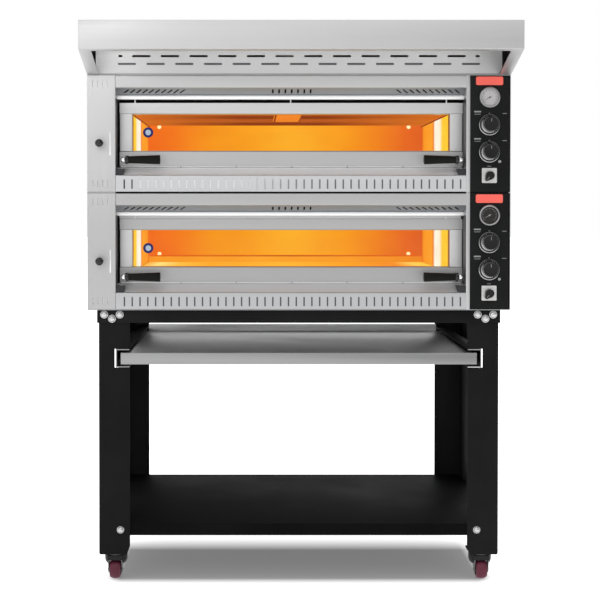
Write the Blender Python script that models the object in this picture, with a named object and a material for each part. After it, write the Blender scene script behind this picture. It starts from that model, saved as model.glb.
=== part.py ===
"""Two-deck electric pizza oven on a wheeled stand, with a pull-out tray and an extraction hood.

The frame has +Z up and the front of the oven facing -Y. The origin is on the floor, under the
middle of the object. Depths called "back" are measured from the front plane of the decks.
"""

import math

import bmesh
import bpy
from mathutils import Matrix, Vector

# Driving dimensions, in metres.
GAP = 0.0003  # between neighbouring pieces
SHEET = 0.002  # steel sheet of the decks and the hood
STEEL = 0.003  # steel sheet of the stand

OVEN_W, OVEN_D, DECK_H = 1.360, 0.870, 0.378
STAND_TOP = 0.880
HOOD_REACH = 0.195  # how far the hood stands in front of the decks
HOOD_RISE = 0.058  # from the oven's top to the lower edge of the hood's band
HOOD_BAND = 0.089
HOOD_FLANGE = 0.038

STAND_SETBACK, STAND_D = 0.020, 0.735
BEAM_W, BEAM_H, BEAM_FLANGE = 1.304, 0.043, 0.040
LEGS_W, LEG_FLANGE, LEG_FOOT = 1.293, 0.100, 0.088
LEG_SIDE = 0.160  # depth of a leg's side flange
CHAMFER = (0.010, 0.027)  # width and height of the cut on a leg's lower inner corner
FOOT_T = 0.004
SHELF_TOP, SHELF_LIP = 0.184, 0.038
TRAY_W, TRAY_LIP, TRAY_TOP = 1.149, 0.037, 0.741
TRAY_BACK = 0.026  # height of the upstand at the tray's rear, which fits between the rails
RAIL_H, RAIL_W, RAIL_BOTTOM = 0.059, 0.044, 0.693

WHEEL_R, WHEEL_W = 0.030, 0.036
CASTOR_TRAIL = 0.022  # from the swivel axis forward to the wheel's axle
AXLE_R = 0.004

# Front of one deck: X from the middle of the oven, Z from the underside of the deck.
COLUMN_X = -0.589  # where the left column ends
BULKHEAD_X = 0.537  # steel strip between the door bay and the controls
PANEL_X = (0.5495, 0.674)
SEAM = 0.0028  # a front panel stops this far from the deck's own edge
DOOR_BACK, DOOR_T = 0.060, 0.035
DOOR_X, DOOR_Z = (-0.582, 0.535), (0.084, 0.293)
WINDOW_X, WINDOW_Z = (-0.541, 0.494), (0.136, 0.257)
DOOR_PIVOT = (0.090, 0.276)  # back, Z
HANDLE_Z, HANDLE_STANDOFF = 0.106, 0.052
HANDLE_OUTER = (-0.560, 0.516)  # X of the outer end of the left and right grips
GRIP_LENGTH = 0.114
CHAMBER_X, CHAMBER_Z = (-0.550, 0.500), (0.0983, 0.270)  # clear inside sizes
CHAMBER_BACK = (0.097, 0.766)
STONE_T = 0.0195
ELEMENT_R, ELEMENT_CLEAR = 0.003, 0.0015  # the bar's radius, and its distance from the roof
CONTROL_X = 0.611
THERMOMETER_Z = 0.305
KNOB_Z = {"top": 0.218, "bottom": 0.131}
SWITCH_Z = 0.055
DAMPER_X, DAMPER_Z = -0.638, 0.158
SHAFT_R, HOLE_R = 0.004, 0.0052

# Derived places.
FRONT_Y = (HOOD_REACH - OVEN_D) / 2
REAR_Y = FRONT_Y + OVEN_D
HOOD_FRONT_Y = FRONT_Y - HOOD_REACH
OVEN_TOP = STAND_TOP + 2 * DECK_H
HOOD_BOTTOM = OVEN_TOP + HOOD_RISE
HOOD_TOP = HOOD_BOTTOM + HOOD_BAND
STAND_FRONT_Y = FRONT_Y + STAND_SETBACK
STAND_REAR_Y = STAND_FRONT_Y + STAND_D
DECKS = {"lower": STAND_TOP + GAP, "upper": STAND_TOP + DECK_H}

FINISHES = {  # colour, roughness, metallic
    "stainless": ((0.62, 0.62, 0.62), 0.35, 1.0),
    "hood_steel": ((0.70, 0.70, 0.71), 0.32, 1.0),
    "chamber_steel": ((0.55, 0.36, 0.18), 0.50, 0.6),
    "black_panel": ((0.013, 0.013, 0.013), 0.45, 0.0),
    "black_powder": ((0.016, 0.016, 0.017), 0.50, 0.2),
    "black_plastic": ((0.010, 0.010, 0.010), 0.40, 0.0),
    "stone": ((0.60, 0.42, 0.26), 0.90, 0.0),
    "element": ((0.25, 0.12, 0.07), 0.60, 0.5),
    "glass": ((0.95, 0.62, 0.25), 0.05, 0.0),
    "tray_steel": ((0.28, 0.28, 0.28), 0.40, 1.0),
    "zinc": ((0.35, 0.35, 0.36), 0.40, 1.0),
    "wheel_red": ((0.16, 0.03, 0.06), 0.50, 0.0),
}


def clear_scene():
    for old in list(bpy.data.objects):
        bpy.data.objects.remove(old, do_unlink=True)


def finish(name):
    """The material of that name, made once."""
    material = bpy.data.materials.get(name)
    if material is None:
        colour, roughness, metallic = FINISHES[name]
        material = bpy.data.materials.new(name)
        material.use_nodes = True
        shader = material.node_tree.nodes["Principled BSDF"]
        shader.inputs["Base Color"].default_value = (*colour, 1.0)
        shader.inputs["Roughness"].default_value = roughness
        shader.inputs["Metallic"].default_value = metallic
    return material


def add_object(name, bm, material=None, smooth=False):
    """Turns a bmesh into a linked object with outward faces."""
    bmesh.ops.recalc_face_normals(bm, faces=bm.faces)
    mesh = bpy.data.meshes.new(name)
    bm.to_mesh(mesh)
    bm.free()
    if smooth:
        mesh.shade_smooth()
        mesh.set_sharp_from_angle(angle=math.radians(35))
    if material:
        mesh.materials.append(finish(material))
    obj = bpy.data.objects.new(name, mesh)
    bpy.context.scene.collection.objects.link(obj)
    return obj


# Solids. Each of these adds one closed body to a bmesh.

AXES = {  # an outline's two directions and the direction it is extruded in
    "x": (Vector((0, 1, 0)), Vector((0, 0, 1)), Vector((1, 0, 0))),
    "y": (Vector((1, 0, 0)), Vector((0, 0, 1)), Vector((0, 1, 0))),
    "z": (Vector((1, 0, 0)), Vector((0, 1, 0)), Vector((0, 0, 1))),
}


def add_prism(bm, axis, outline, low, high):
    """A flat outline, pushed along an axis from low to high."""
    across, up, along = AXES[axis]
    base = [bm.verts.new(across * a + up * b + along * low) for a, b in outline]
    face = bm.faces.new(base)
    pushed = bmesh.ops.extrude_face_region(bm, geom=[face], use_keep_orig=True)
    moved = [v for v in pushed["geom"] if isinstance(v, bmesh.types.BMVert)]
    bmesh.ops.translate(bm, verts=moved, vec=along * (high - low))


def add_box(bm, x, y, z):
    add_prism(bm, "z", [(x[0], y[0]), (x[1], y[0]), (x[1], y[1]), (x[0], y[1])], z[0], z[1])


def add_open_box(bm, x, y, z, wall, open_side):
    """A box of sheet with one side left open: open_side is -y, -z or +z."""
    spans = [list(x), list(y), list(z)]
    sign, axis = open_side[0], "xyz".index(open_side[1])
    inner = [[low + wall, high - wall] for low, high in spans]
    end = 0 if sign == "-" else 1
    inner[axis][end] = spans[axis][end]
    corners = {}
    for skin, box in (("outer", spans), ("inner", inner)):
        for i in (0, 1):
            for j in (0, 1):
                for k in (0, 1):
                    corners[skin, i, j, k] = bm.verts.new((box[0][i], box[1][j], box[2][k]))
    ring = [(0, 0), (1, 0), (1, 1), (0, 1)]

    def corner(skin, a, value, pair):
        key = list(pair)
        key.insert(a, value)
        return corners[(skin, *key)]

    for a in range(3):
        for value in (0, 1):
            loop = {skin: [corner(skin, a, value, p) for p in ring] for skin in ("outer", "inner")}
            if (a, value) != (axis, end):
                bm.faces.new(loop["outer"])
                bm.faces.new(loop["inner"][::-1])
                continue
            for n in range(4):
                m = (n + 1) % 4
                bm.faces.new(
                    (loop["outer"][n], loop["outer"][m], loop["inner"][m], loop["inner"][n])
                )


def add_turned(bm, profile, segments, matrix=None, bored=False):
    """A profile of (radius, height) points, turned about Z; bored joins its last point to its first."""
    matrix = matrix or Matrix()
    rings = []
    for radius, height in profile:
        if radius == 0:
            rings.append([bm.verts.new(matrix @ Vector((0, 0, height)))])
            continue
        angles = [2 * math.pi * n / segments for n in range(segments)]
        rings.append(
            [
                bm.verts.new(matrix @ Vector((radius * math.cos(a), radius * math.sin(a), height)))
                for a in angles
            ]
        )
    pairs = list(zip(rings, rings[1:]))
    if bored:
        pairs.append((rings[-1], rings[0]))
    for first, second in pairs:
        for n in range(segments):
            m = (n + 1) % segments
            if len(first) == 1:
                bm.faces.new((first[0], second[m], second[n]))
            elif len(second) == 1:
                bm.faces.new((first[n], first[m], second[0]))
            else:
                bm.faces.new((first[n], first[m], second[m], second[n]))


def add_tube(bm, path, radius, sides):
    """A round bar along a path of points that all lie at one height."""
    rings = []
    for n, point in enumerate(path):
        before = path[max(n - 1, 0)]
        after = path[min(n + 1, len(path) - 1)]
        along = (after - before).normalized()
        side = along.cross(Vector((0, 0, 1)))
        ring = []
        for s in range(sides):
            angle = 2 * math.pi * s / sides
            ring.append(
                bm.verts.new(
                    point
                    + side * (radius * math.cos(angle))
                    + Vector((0, 0, radius * math.sin(angle)))
                )
            )
        rings.append(ring)
    for first, second in zip(rings, rings[1:]):
        for s in range(sides):
            t = (s + 1) % sides
            bm.faces.new((first[s], first[t], second[t], second[s]))
    bm.faces.new(rings[0][::-1])
    bm.faces.new(rings[-1])


def folded(points, thickness):
    """The closed outline of sheet folded along points; the sheet lies to the right of the way they run."""
    points = [Vector(p) for p in points]
    offset = []
    for n, point in enumerate(points):
        normals = []
        for a, b in ((n - 1, n), (n, n + 1)):
            if a >= 0 and b < len(points):
                run = (points[b] - points[a]).normalized()
                normals.append(Vector((run.y, -run.x)))
        mitre = sum(normals, Vector((0, 0))).normalized()
        offset.append(point + mitre * (thickness / mitre.dot(normals[0])))
    return [tuple(p) for p in points] + [tuple(p) for p in reversed(offset)]


def back(depth):
    """The Y of a point that far back from the decks' front plane."""
    return FRONT_Y + depth


def facing_front(x, y, z):
    """Turns +Z of a turned piece to -Y, and puts its base at a point."""
    return Matrix.Translation((x, y, z)) @ Matrix.Rotation(math.radians(90), 4, "X")


def solid(name, material, *bodies, smooth=False):
    """An object from functions that each add to its bmesh."""
    bm = bmesh.new()
    for add in bodies:
        add(bm)
    return add_object(name, bm, material, smooth)


def combine(target, operation, *bodies):
    """Adds or removes bodies, as a Boolean on the target with a hidden guide."""
    guide = solid(f"{target.name}.{operation.lower()}{len(target.modifiers)}", None, *bodies)
    guide.hide_render = True
    guide.display_type = "WIRE"
    modifier = target.modifiers.new(operation.title(), "BOOLEAN")
    modifier.operation = operation
    modifier.object = guide


def cut(target, *bodies):
    combine(target, "DIFFERENCE", *bodies)


def join(target, *bodies):
    combine(target, "UNION", *bodies)


def box(x, y, z):
    return lambda bm: add_box(bm, sorted(x), sorted(y), sorted(z))


def prism(axis, outline, low, high):
    return lambda bm: add_prism(bm, axis, outline, low, high)


def turned(profile, segments, matrix, bored=False):
    return lambda bm: add_turned(bm, profile, segments, matrix, bored)


def set_origin(obj, point):
    """Moves an object's origin to a point and leaves its surface where it is."""
    obj.data.transform(Matrix.Translation(-Vector(point)))
    obj.location = point


# Stand.


def build_leg(name, side, end):
    """An angle-section leg with a welded foot plate: side is -1 or 1 in X, end is -1 or 1 in Y."""
    x = side * LEGS_W / 2
    face = STAND_FRONT_Y if end < 0 else STAND_REAR_Y
    y = face - end * (STEEL + GAP)
    outline = [
        (x, y),
        (x - side * LEG_FLANGE, y),
        (x - side * LEG_FLANGE, y - end * STEEL),
        (x - side * STEEL, y - end * STEEL),
        (x - side * STEEL, y - end * LEG_SIDE),
        (x, y - end * LEG_SIDE),
    ]
    leg = solid(name, "black_powder", prism("z", outline, LEG_FOOT, STAND_TOP - STEEL - GAP))
    inner = x - side * LEG_FLANGE
    clear = side * 0.001
    plate_x = sorted((x - side * STEEL / 2, inner + side * CHAMFER[0]))
    plate_y = sorted((y - end * STEEL / 2, y - end * (LEG_FLANGE - CHAMFER[0])))
    join(leg, box(plate_x, plate_y, (LEG_FOOT - FOOT_T, LEG_FOOT + FOOT_T / 4)))
    corner = [
        (inner - clear, LEG_FOOT - 0.001),
        (inner + side * CHAMFER[0], LEG_FOOT - 0.001),
        (inner - clear, LEG_FOOT + CHAMFER[1]),
    ]
    cuts = [prism("y", corner, y - 0.010, y + 0.010)]
    if end < 0:
        notch = (inner - clear, inner + side * (RAIL_W + 0.005))
        cuts.append(
            box(notch, (y - 0.010, y + 0.010), (RAIL_BOTTOM - 0.001, RAIL_BOTTOM + RAIL_H + 0.001))
        )
    cut(leg, *cuts)


def build_stand():
    for end, end_name, face in ((-1, "front", STAND_FRONT_Y), (1, "rear", STAND_REAR_Y)):
        for side, side_name in ((-1, "left"), (1, "right")):
            build_leg(f"{end_name}_{side_name}_leg", side, end)
        angle = [
            (face, STAND_TOP - BEAM_H),
            (face, STAND_TOP),
            (face - end * BEAM_FLANGE, STAND_TOP),
            (face - end * BEAM_FLANGE, STAND_TOP - STEEL),
            (face - end * STEEL, STAND_TOP - STEEL),
            (face - end * STEEL, STAND_TOP - BEAM_H),
        ]
        solid(
            f"stand_{end_name}_beam", "black_powder", prism("x", angle, -BEAM_W / 2, BEAM_W / 2)
        )
    for side, side_name in ((-1, "left"), (1, "right")):
        face = side * BEAM_W / 2
        angle = [
            (face, STAND_TOP - BEAM_H),
            (face, STAND_TOP),
            (face - side * BEAM_FLANGE, STAND_TOP),
            (face - side * BEAM_FLANGE, STAND_TOP - STEEL),
            (face - side * STEEL, STAND_TOP - STEEL),
            (face - side * STEEL, STAND_TOP - BEAM_H),
        ]
        reach = BEAM_FLANGE + GAP
        solid(
            f"stand_{side_name}_beam",
            "black_powder",
            prism("y", angle, STAND_FRONT_Y + reach, STAND_REAR_Y - reach),
        )
    inside_x = LEGS_W / 2 - STEEL - GAP
    inside_y = (STAND_FRONT_Y + 2 * STEEL + 2 * GAP, STAND_REAR_Y - 2 * STEEL - 2 * GAP)
    shelf_z = (SHELF_TOP - SHELF_LIP, SHELF_TOP)
    solid(
        "lower_shelf",
        "black_powder",
        lambda bm: add_open_box(bm, (-inside_x, inside_x), inside_y, shelf_z, STEEL, "-z"),
    )


def build_tray():
    rail_front = STAND_FRONT_Y + STEEL + GAP
    rail_rear = STAND_REAR_Y - 2 * STEEL - 2 * GAP
    for side, side_name in ((-1, "left"), (1, "right")):
        inner = side * (LEGS_W / 2 - LEG_FLANGE + 0.001)
        outer = inner + side * RAIL_W
        web = outer - side * SHEET
        low, high = RAIL_BOTTOM, RAIL_BOTTOM + RAIL_H
        channel = [
            (inner, low),
            (outer, low),
            (outer, high),
            (inner, high),
            (inner, high - SHEET),
            (web, high - SHEET),
            (web, low + SHEET),
            (inner, low + SHEET),
        ]
        solid(f"{side_name}_tray_rail", "black_powder", prism("y", channel, rail_front, rail_rear))
    tray_y = (STAND_FRONT_Y - 0.010, STAND_REAR_Y - 0.060)
    half = TRAY_W / 2
    tray = solid(
        "sliding_tray",
        "tray_steel",
        lambda bm: add_open_box(
            bm, (-half, half), tray_y, (TRAY_TOP - TRAY_LIP, TRAY_TOP), SHEET, "-z"
        ),
    )
    back = LEGS_W / 2 - LEG_FLANGE - 0.003
    join(tray, box((-back, back), (tray_y[1] - SHEET, tray_y[1]), (TRAY_TOP - SHEET, TRAY_TOP + TRAY_BACK)))


# Castors.


def build_castor(place, side, end):
    """A fork that swivels under a leg's foot plate, and a wheel on the fork's axle."""
    x = side * (LEGS_W - LEG_FLANGE) / 2
    face = STAND_FRONT_Y if end < 0 else STAND_REAR_Y
    y = face - end * (STEEL + GAP + LEG_FLANGE / 2)
    head_top = LEG_FOOT - FOOT_T - GAP
    cheek_t, cheek_in = 0.003, WHEEL_W / 2 + 0.002
    web_top, web_bottom = head_top - 0.009, WHEEL_R * 2 + 0.003
    axle_y = y - CASTOR_TRAIL
    fork = solid(
        f"{place}_castor_fork",
        "zinc",
        box(
            (x - cheek_in - cheek_t, x + cheek_in + cheek_t),
            (y - 0.040, y + 0.024),
            (web_bottom, web_top),
        ),
    )
    cheek = [(y + 0.024, web_top - 0.001), (y + 0.024, web_bottom - 0.004)]
    for n in range(7):
        angle = math.radians(200 + 28 * n)
        cheek.append((axle_y - 0.011 * math.cos(angle), WHEEL_R + 0.011 * math.sin(angle)))
    cheek += [(y - 0.040, web_bottom - 0.004), (y - 0.040, web_top - 0.001)]
    join(
        fork,
        prism("x", cheek, x - cheek_in - cheek_t, x - cheek_in),
        prism("x", cheek, x + cheek_in, x + cheek_in + cheek_t),
    )
    head = [(0, web_top - 0.002), (0.036, web_top - 0.002), (0.036, head_top - 0.002)]
    head += [(0.034, head_top), (0, head_top)]
    pin = cheek_in + cheek_t + 0.002
    along_x = Matrix.Translation((x, axle_y, WHEEL_R)) @ Matrix.Rotation(math.pi / 2, 4, "Y")
    join(
        fork,
        turned(head, 16, Matrix.Translation((x, y, 0))),
        turned([(0, -pin), (AXLE_R, -pin), (AXLE_R, pin), (0, pin)], 8, along_x),
    )
    tread = WHEEL_W / 2
    bore = AXLE_R + 0.0006
    rim = [
        (bore, -tread),
        (0.012, -tread),
        (0.013, -tread + 0.003),
        (WHEEL_R - 0.008, -tread + 0.003),
        (WHEEL_R - 0.006, -tread),
        (WHEEL_R - 0.002, -tread + 0.004),
    ]
    crown = [(WHEEL_R, -tread * 0.3), (WHEEL_R, tread * 0.3)]
    profile = rim + crown + [(r, -h) for r, h in reversed(rim)]
    wheel = solid(
        f"{place}_castor_wheel", "wheel_red", turned(profile, 20, along_x, True), smooth=True
    )
    set_origin(fork, (x, y, head_top))
    set_origin(wheel, (x, axle_y, WHEEL_R))


# Hood.


def build_hood():
    base = OVEN_TOP + GAP

    def side_profile(inset):
        """The hood seen from its side, with its sheet's thickness taken off all round."""
        slope = Vector((HOOD_REACH, -HOOD_RISE)).normalized()
        lift = inset / slope.x
        return [
            (HOOD_FRONT_Y + inset, HOOD_BOTTOM + GAP + lift - inset * HOOD_RISE / HOOD_REACH),
            (FRONT_Y, base + lift),
            (REAR_Y - inset, base + lift),
            (REAR_Y - inset, HOOD_TOP - inset),
            (HOOD_FRONT_Y + inset, HOOD_TOP - inset),
        ]

    half = OVEN_W / 2
    shell = solid("hood_shell", "hood_steel", prism("x", side_profile(0), -half, half))
    collar_r, collar_h, flange_r = 0.075, 0.050, 0.095
    collar_at = Matrix.Translation((0, REAR_Y - 0.220, HOOD_TOP))
    collar = [
        (collar_r - SHEET, GAP),
        (flange_r, GAP),
        (flange_r, GAP + SHEET),
        (collar_r, GAP + SHEET),
        (collar_r, collar_h),
        (collar_r - SHEET, collar_h),
    ]
    solid("flue_collar", "hood_steel", turned(collar, 24, collar_at, True), smooth=True)
    cut(shell, prism("x", side_profile(SHEET), SHEET - half, half - SHEET))
    lip = half - HOOD_FLANGE
    front_lip = 0.016
    hole_r = collar_r - SHEET
    bore = [(0, -0.020), (hole_r, -0.020), (hole_r, 0.010), (0, 0.010)]
    cut(
        shell,
        box((-lip, lip), (HOOD_FRONT_Y + front_lip, REAR_Y - HOOD_FLANGE), (base - 0.05, base + 0.08)),
        turned(bore, 24, collar_at),
    )

    panel_half, panel_y = 0.652, FRONT_Y + 0.004
    panel_z = (base + 2 * SHEET, HOOD_TOP - SHEET - GAP)
    panel = solid(
        "hood_slotted_panel",
        "hood_steel",
        box((-panel_half, panel_half), (panel_y, panel_y + SHEET), panel_z),
    )
    length, height, pitch, limit = 0.059, 0.006, 0.092, 0.580
    slots = []
    for count, row_z in ((13, OVEN_TOP + 0.035), (12, OVEN_TOP + 0.060)):
        middles = [pitch * (n - (count - 1) / 2) for n in range(count)]
        spans = [(m - length / 2, m + length / 2) for m in middles]
        if count == 12:
            spans += [(-limit, -limit + 0.014), (limit - 0.014, limit)]
        for span in spans:
            slots.append(
                box(span, (panel_y - 0.004, panel_y + 0.006), (row_z - height / 2, row_z + height / 2))
            )
    cut(panel, *slots)


# Decks.


def slot_row(places, width, y, z):
    return [box((x - width / 2, x + width / 2), y, z) for x in places]


def spread(first, last, count):
    return [first + (last - first) * n / (count - 1) for n in range(count)]


def build_casing(deck, z):
    """The outer sheet of a deck with the bulkhead beside its controls, and the cover on its back."""
    casing = solid(
        f"{deck}_casing",
        "stainless",
        lambda bm: add_open_box(
            bm,
            (-OVEN_W / 2, OVEN_W / 2),
            (back(SHEET + GAP), REAR_Y - SHEET - GAP),
            (z, z + DECK_H - GAP),
            SHEET,
            "-y",
        ),
    )
    inset = 0.030
    solid(
        f"{deck}_rear_cover",
        "stainless",
        box(
            (inset - OVEN_W / 2, OVEN_W / 2 - inset),
            (REAR_Y - SHEET, REAR_Y),
            (z + inset, z + DECK_H - inset),
        ),
    )
    strip_end = PANEL_X[0] - GAP
    bulkhead = [
        (BULKHEAD_X, back(0.130)),
        (BULKHEAD_X, back(0)),
        (strip_end, back(0)),
        (strip_end, back(SHEET)),
        (BULKHEAD_X + SHEET, back(SHEET)),
        (BULKHEAD_X + SHEET, back(0.130)),
    ]
    join(casing, prism("z", bulkhead, z + SHEET / 2, z + DECK_H - GAP - SHEET / 2))


def build_fascias(deck, z):
    """Vented fascias over and under the door; each is one folded sheet."""
    left, right = COLUMN_X + GAP, BULKHEAD_X - GAP
    top = z + DECK_H
    over = folded(
        [
            (back(0.057), top - 0.075),
            (back(0.050), top - 0.075),
            (back(0.050), top - 0.062),
            (back(0), top - 0.040),
            (back(0), top - SEAM),
            (back(0.018), top - SEAM),
        ],
        SHEET,
    )
    fascia = solid(f"{deck}_top_fascia", "stainless", prism("x", over, left, right))
    slots = []
    slope_y, slope_z = (back(0.012), back(0.040)), (top - 0.070, top - 0.030)
    lean = 0.022
    for first, last, count, tilt in (
        (-0.557, -0.376, 10, 1),
        (-0.084, 0.038, 7, 0),
        (0.324, 0.512, 10, -1),
    ):
        for x in spread(first, last, count):
            near, far = x + tilt * lean / 2, x - tilt * lean / 2
            outline = [
                (near - 0.0025, slope_y[0]),
                (near + 0.0025, slope_y[0]),
                (far + 0.0025, slope_y[1]),
                (far - 0.0025, slope_y[1]),
            ]
            slots.append(prism("z", outline, *slope_z))
    cut(fascia, *slots)

    under = folded(
        [
            (back(0.018), z + SEAM),
            (back(0), z + SEAM),
            (back(0), z + 0.055),
            (back(0.058), z + 0.082),
            (back(0.094), z + 0.082),
        ],
        SHEET,
    )
    sill = solid(f"{deck}_bottom_fascia", "stainless", prism("x", under, left, right))
    vents = slot_row(
        spread(-0.561, 0.519, 44), 0.0048, (back(-0.004), back(0.006)), (z + 0.012, z + 0.043)
    )
    cut(sill, *vents)


def build_side_panels(deck, z):
    """The steel column on the left and the black control panel on the right."""
    low, high = z + SEAM, z + DECK_H - SEAM
    column = folded([(COLUMN_X, back(0.120)), (COLUMN_X, back(0)), (-OVEN_W / 2, back(0))], SHEET)
    panel = solid(f"{deck}_left_panel", "stainless", prism("z", column, low, high))
    through = (back(-0.004), back(0.006))
    vents = []
    for span in ((0.019, 0.040), (0.338, 0.359)):
        vents += slot_row(spread(-0.660, -0.613, 4), 0.0045, through, (z + span[0], z + span[1]))
    hole = [(0, -0.006), (HOLE_R, -0.006), (HOLE_R, 0.006), (0, 0.006)]
    vents.append(turned(hole, 8, facing_front(DAMPER_X, FRONT_Y, z + DAMPER_Z)))
    cut(panel, *vents)

    controls = folded(
        [
            (PANEL_X[1], back(0.016)),
            (PANEL_X[1], back(0)),
            (PANEL_X[0], back(0)),
            (PANEL_X[0], back(0.016)),
        ],
        SHEET,
    )
    panel = solid(f"{deck}_control_panel", "black_panel", prism("z", controls, low, high))
    cut(
        panel,
        *[
            turned(hole, 8, facing_front(CONTROL_X, FRONT_Y, z + height))
            for height in (THERMOMETER_Z, *KNOB_Z.values(), SWITCH_Z)
        ],
    )


def build_chamber(deck, z):
    """The baking chamber, its stone floor and the heating element under its roof."""
    outer_x = (CHAMBER_X[0] - SHEET, CHAMBER_X[1] + SHEET)
    outer_z = (z + CHAMBER_Z[0] - SHEET, z + CHAMBER_Z[1] + SHEET)
    y = (back(CHAMBER_BACK[0]), back(CHAMBER_BACK[1]))
    solid(
        f"{deck}_chamber",
        "chamber_steel",
        lambda bm: add_open_box(bm, outer_x, y, outer_z, SHEET, "-y"),
    )
    stone_z = z + CHAMBER_Z[0] + GAP
    margin = 0.001
    solid(
        f"{deck}_baking_stone",
        "stone",
        box(
            (CHAMBER_X[0] + margin, CHAMBER_X[1] - margin),
            (y[0] + margin, y[1] - SHEET - margin),
            (stone_z, stone_z + STONE_T),
        ),
    )
    # One bar winds across the left bank, over the gap in the middle, and across the right bank.
    height = z + CHAMBER_Z[1] - ELEMENT_CLEAR - ELEMENT_R
    middle = sum(CHAMBER_X) / 2
    near, far = y[0] + 0.060, y[1] - 0.070
    banks = (CHAMBER_X[0] + 0.060, middle - 0.045), (middle + 0.045, CHAMBER_X[1] - 0.060)
    runs = [x for bank in banks for x in spread(bank[0], bank[1], 5)]
    path = []
    for n, x in enumerate(runs):
        ends = (near, far) if n % 2 == 0 else (far, near)
        path += [Vector((x, end, height)) for end in ends]
        if n + 1 < len(runs):
            centre = (x + runs[n + 1]) / 2
            bend = (runs[n + 1] - x) / 2
            bulge = min(bend, 0.040) * (1 if n % 2 == 0 else -1)
            for angle in (45, 90, 135):
                turn = math.radians(angle)
                path.append(
                    Vector(
                        (centre - bend * math.cos(turn), ends[1] + bulge * math.sin(turn), height)
                    )
                )
    solid(
        f"{deck}_heating_element", "element", lambda bm: add_tube(bm, path, ELEMENT_R, 6), smooth=True
    )


def build_door(deck, z):
    """A glazed door hung from its upper edge, with a grip near each lower corner."""
    hinge = (0, back(DOOR_PIVOT[0]), z + DOOR_PIVOT[1])
    y = (back(DOOR_BACK), back(DOOR_BACK + DOOR_T))
    frame = solid(
        f"{deck}_door_frame", "stainless", box(DOOR_X, y, (z + DOOR_Z[0], z + DOOR_Z[1]))
    )
    cut(frame, box(WINDOW_X, (y[0] - 0.010, y[1] + 0.010), (z + WINDOW_Z[0], z + WINDOW_Z[1])))
    # The frame is pressed from sheet and is open behind: a pocket runs all round the window.
    pocket_y = (y[0] + SHEET, y[1] + 0.010)
    edge_x = (DOOR_X[0] + SHEET, WINDOW_X[0] - SHEET, WINDOW_X[1] + SHEET, DOOR_X[1] - SHEET)
    edge_z = [
        z + height
        for height in (
            DOOR_Z[0] + SHEET,
            WINDOW_Z[0] - SHEET,
            WINDOW_Z[1] + SHEET,
            DOOR_Z[1] - SHEET,
        )
    ]
    overlap = 0.010
    cut(
        frame,
        box(edge_x[:2], pocket_y, (edge_z[0], edge_z[3])),
        box(edge_x[2:], pocket_y, (edge_z[0], edge_z[3])),
    )
    between = (edge_x[1] - overlap, edge_x[2] + overlap)
    cut(frame, box(between, pocket_y, edge_z[:2]), box(between, pocket_y, edge_z[2:]))
    glass = solid(
        f"{deck}_door_glass",
        "glass",
        box(
            (WINDOW_X[0] + GAP, WINDOW_X[1] - GAP),
            (y[0] + 0.010, y[0] + 0.015),
            (z + WINDOW_Z[0] + GAP, z + WINDOW_Z[1] - GAP),
        ),
    )
    set_origin(frame, hinge)
    set_origin(glass, hinge)
    axis_y = y[0] - HANDLE_STANDOFF
    for side, side_name, outer in ((-1, "left", HANDLE_OUTER[0]), (1, "right", HANDLE_OUTER[1])):
        # The grip grows from its outer end towards the middle of the door.
        inward = Matrix.Rotation(-side * math.pi / 2, 4, "Y")
        place = Matrix.Translation((outer, axis_y, z + HANDLE_Z)) @ inward
        grip = [
            (0, -0.010),
            (0.009, -0.008),
            (0.0125, 0),
            (0.0130, 0.004),
            (0.0150, GRIP_LENGTH - 0.012),
            (0.0140, GRIP_LENGTH - 0.003),
            (0.0100, GRIP_LENGTH),
            (0, GRIP_LENGTH),
        ]
        handle = solid(
            f"{deck}_{side_name}_handle", "black_plastic", turned(grip, 12, place), smooth=True
        )
        reach = HANDLE_STANDOFF - GAP
        stem = [(0, 0), (0.011, 0), (0.011, 0.005), (0.0065, 0.008), (0.0065, reach), (0, reach)]
        post = facing_front(outer - side * 0.002, y[0] - GAP, z + HANDLE_Z)
        join(handle, turned(stem, 10, post))
        set_origin(handle, hinge)


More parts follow.
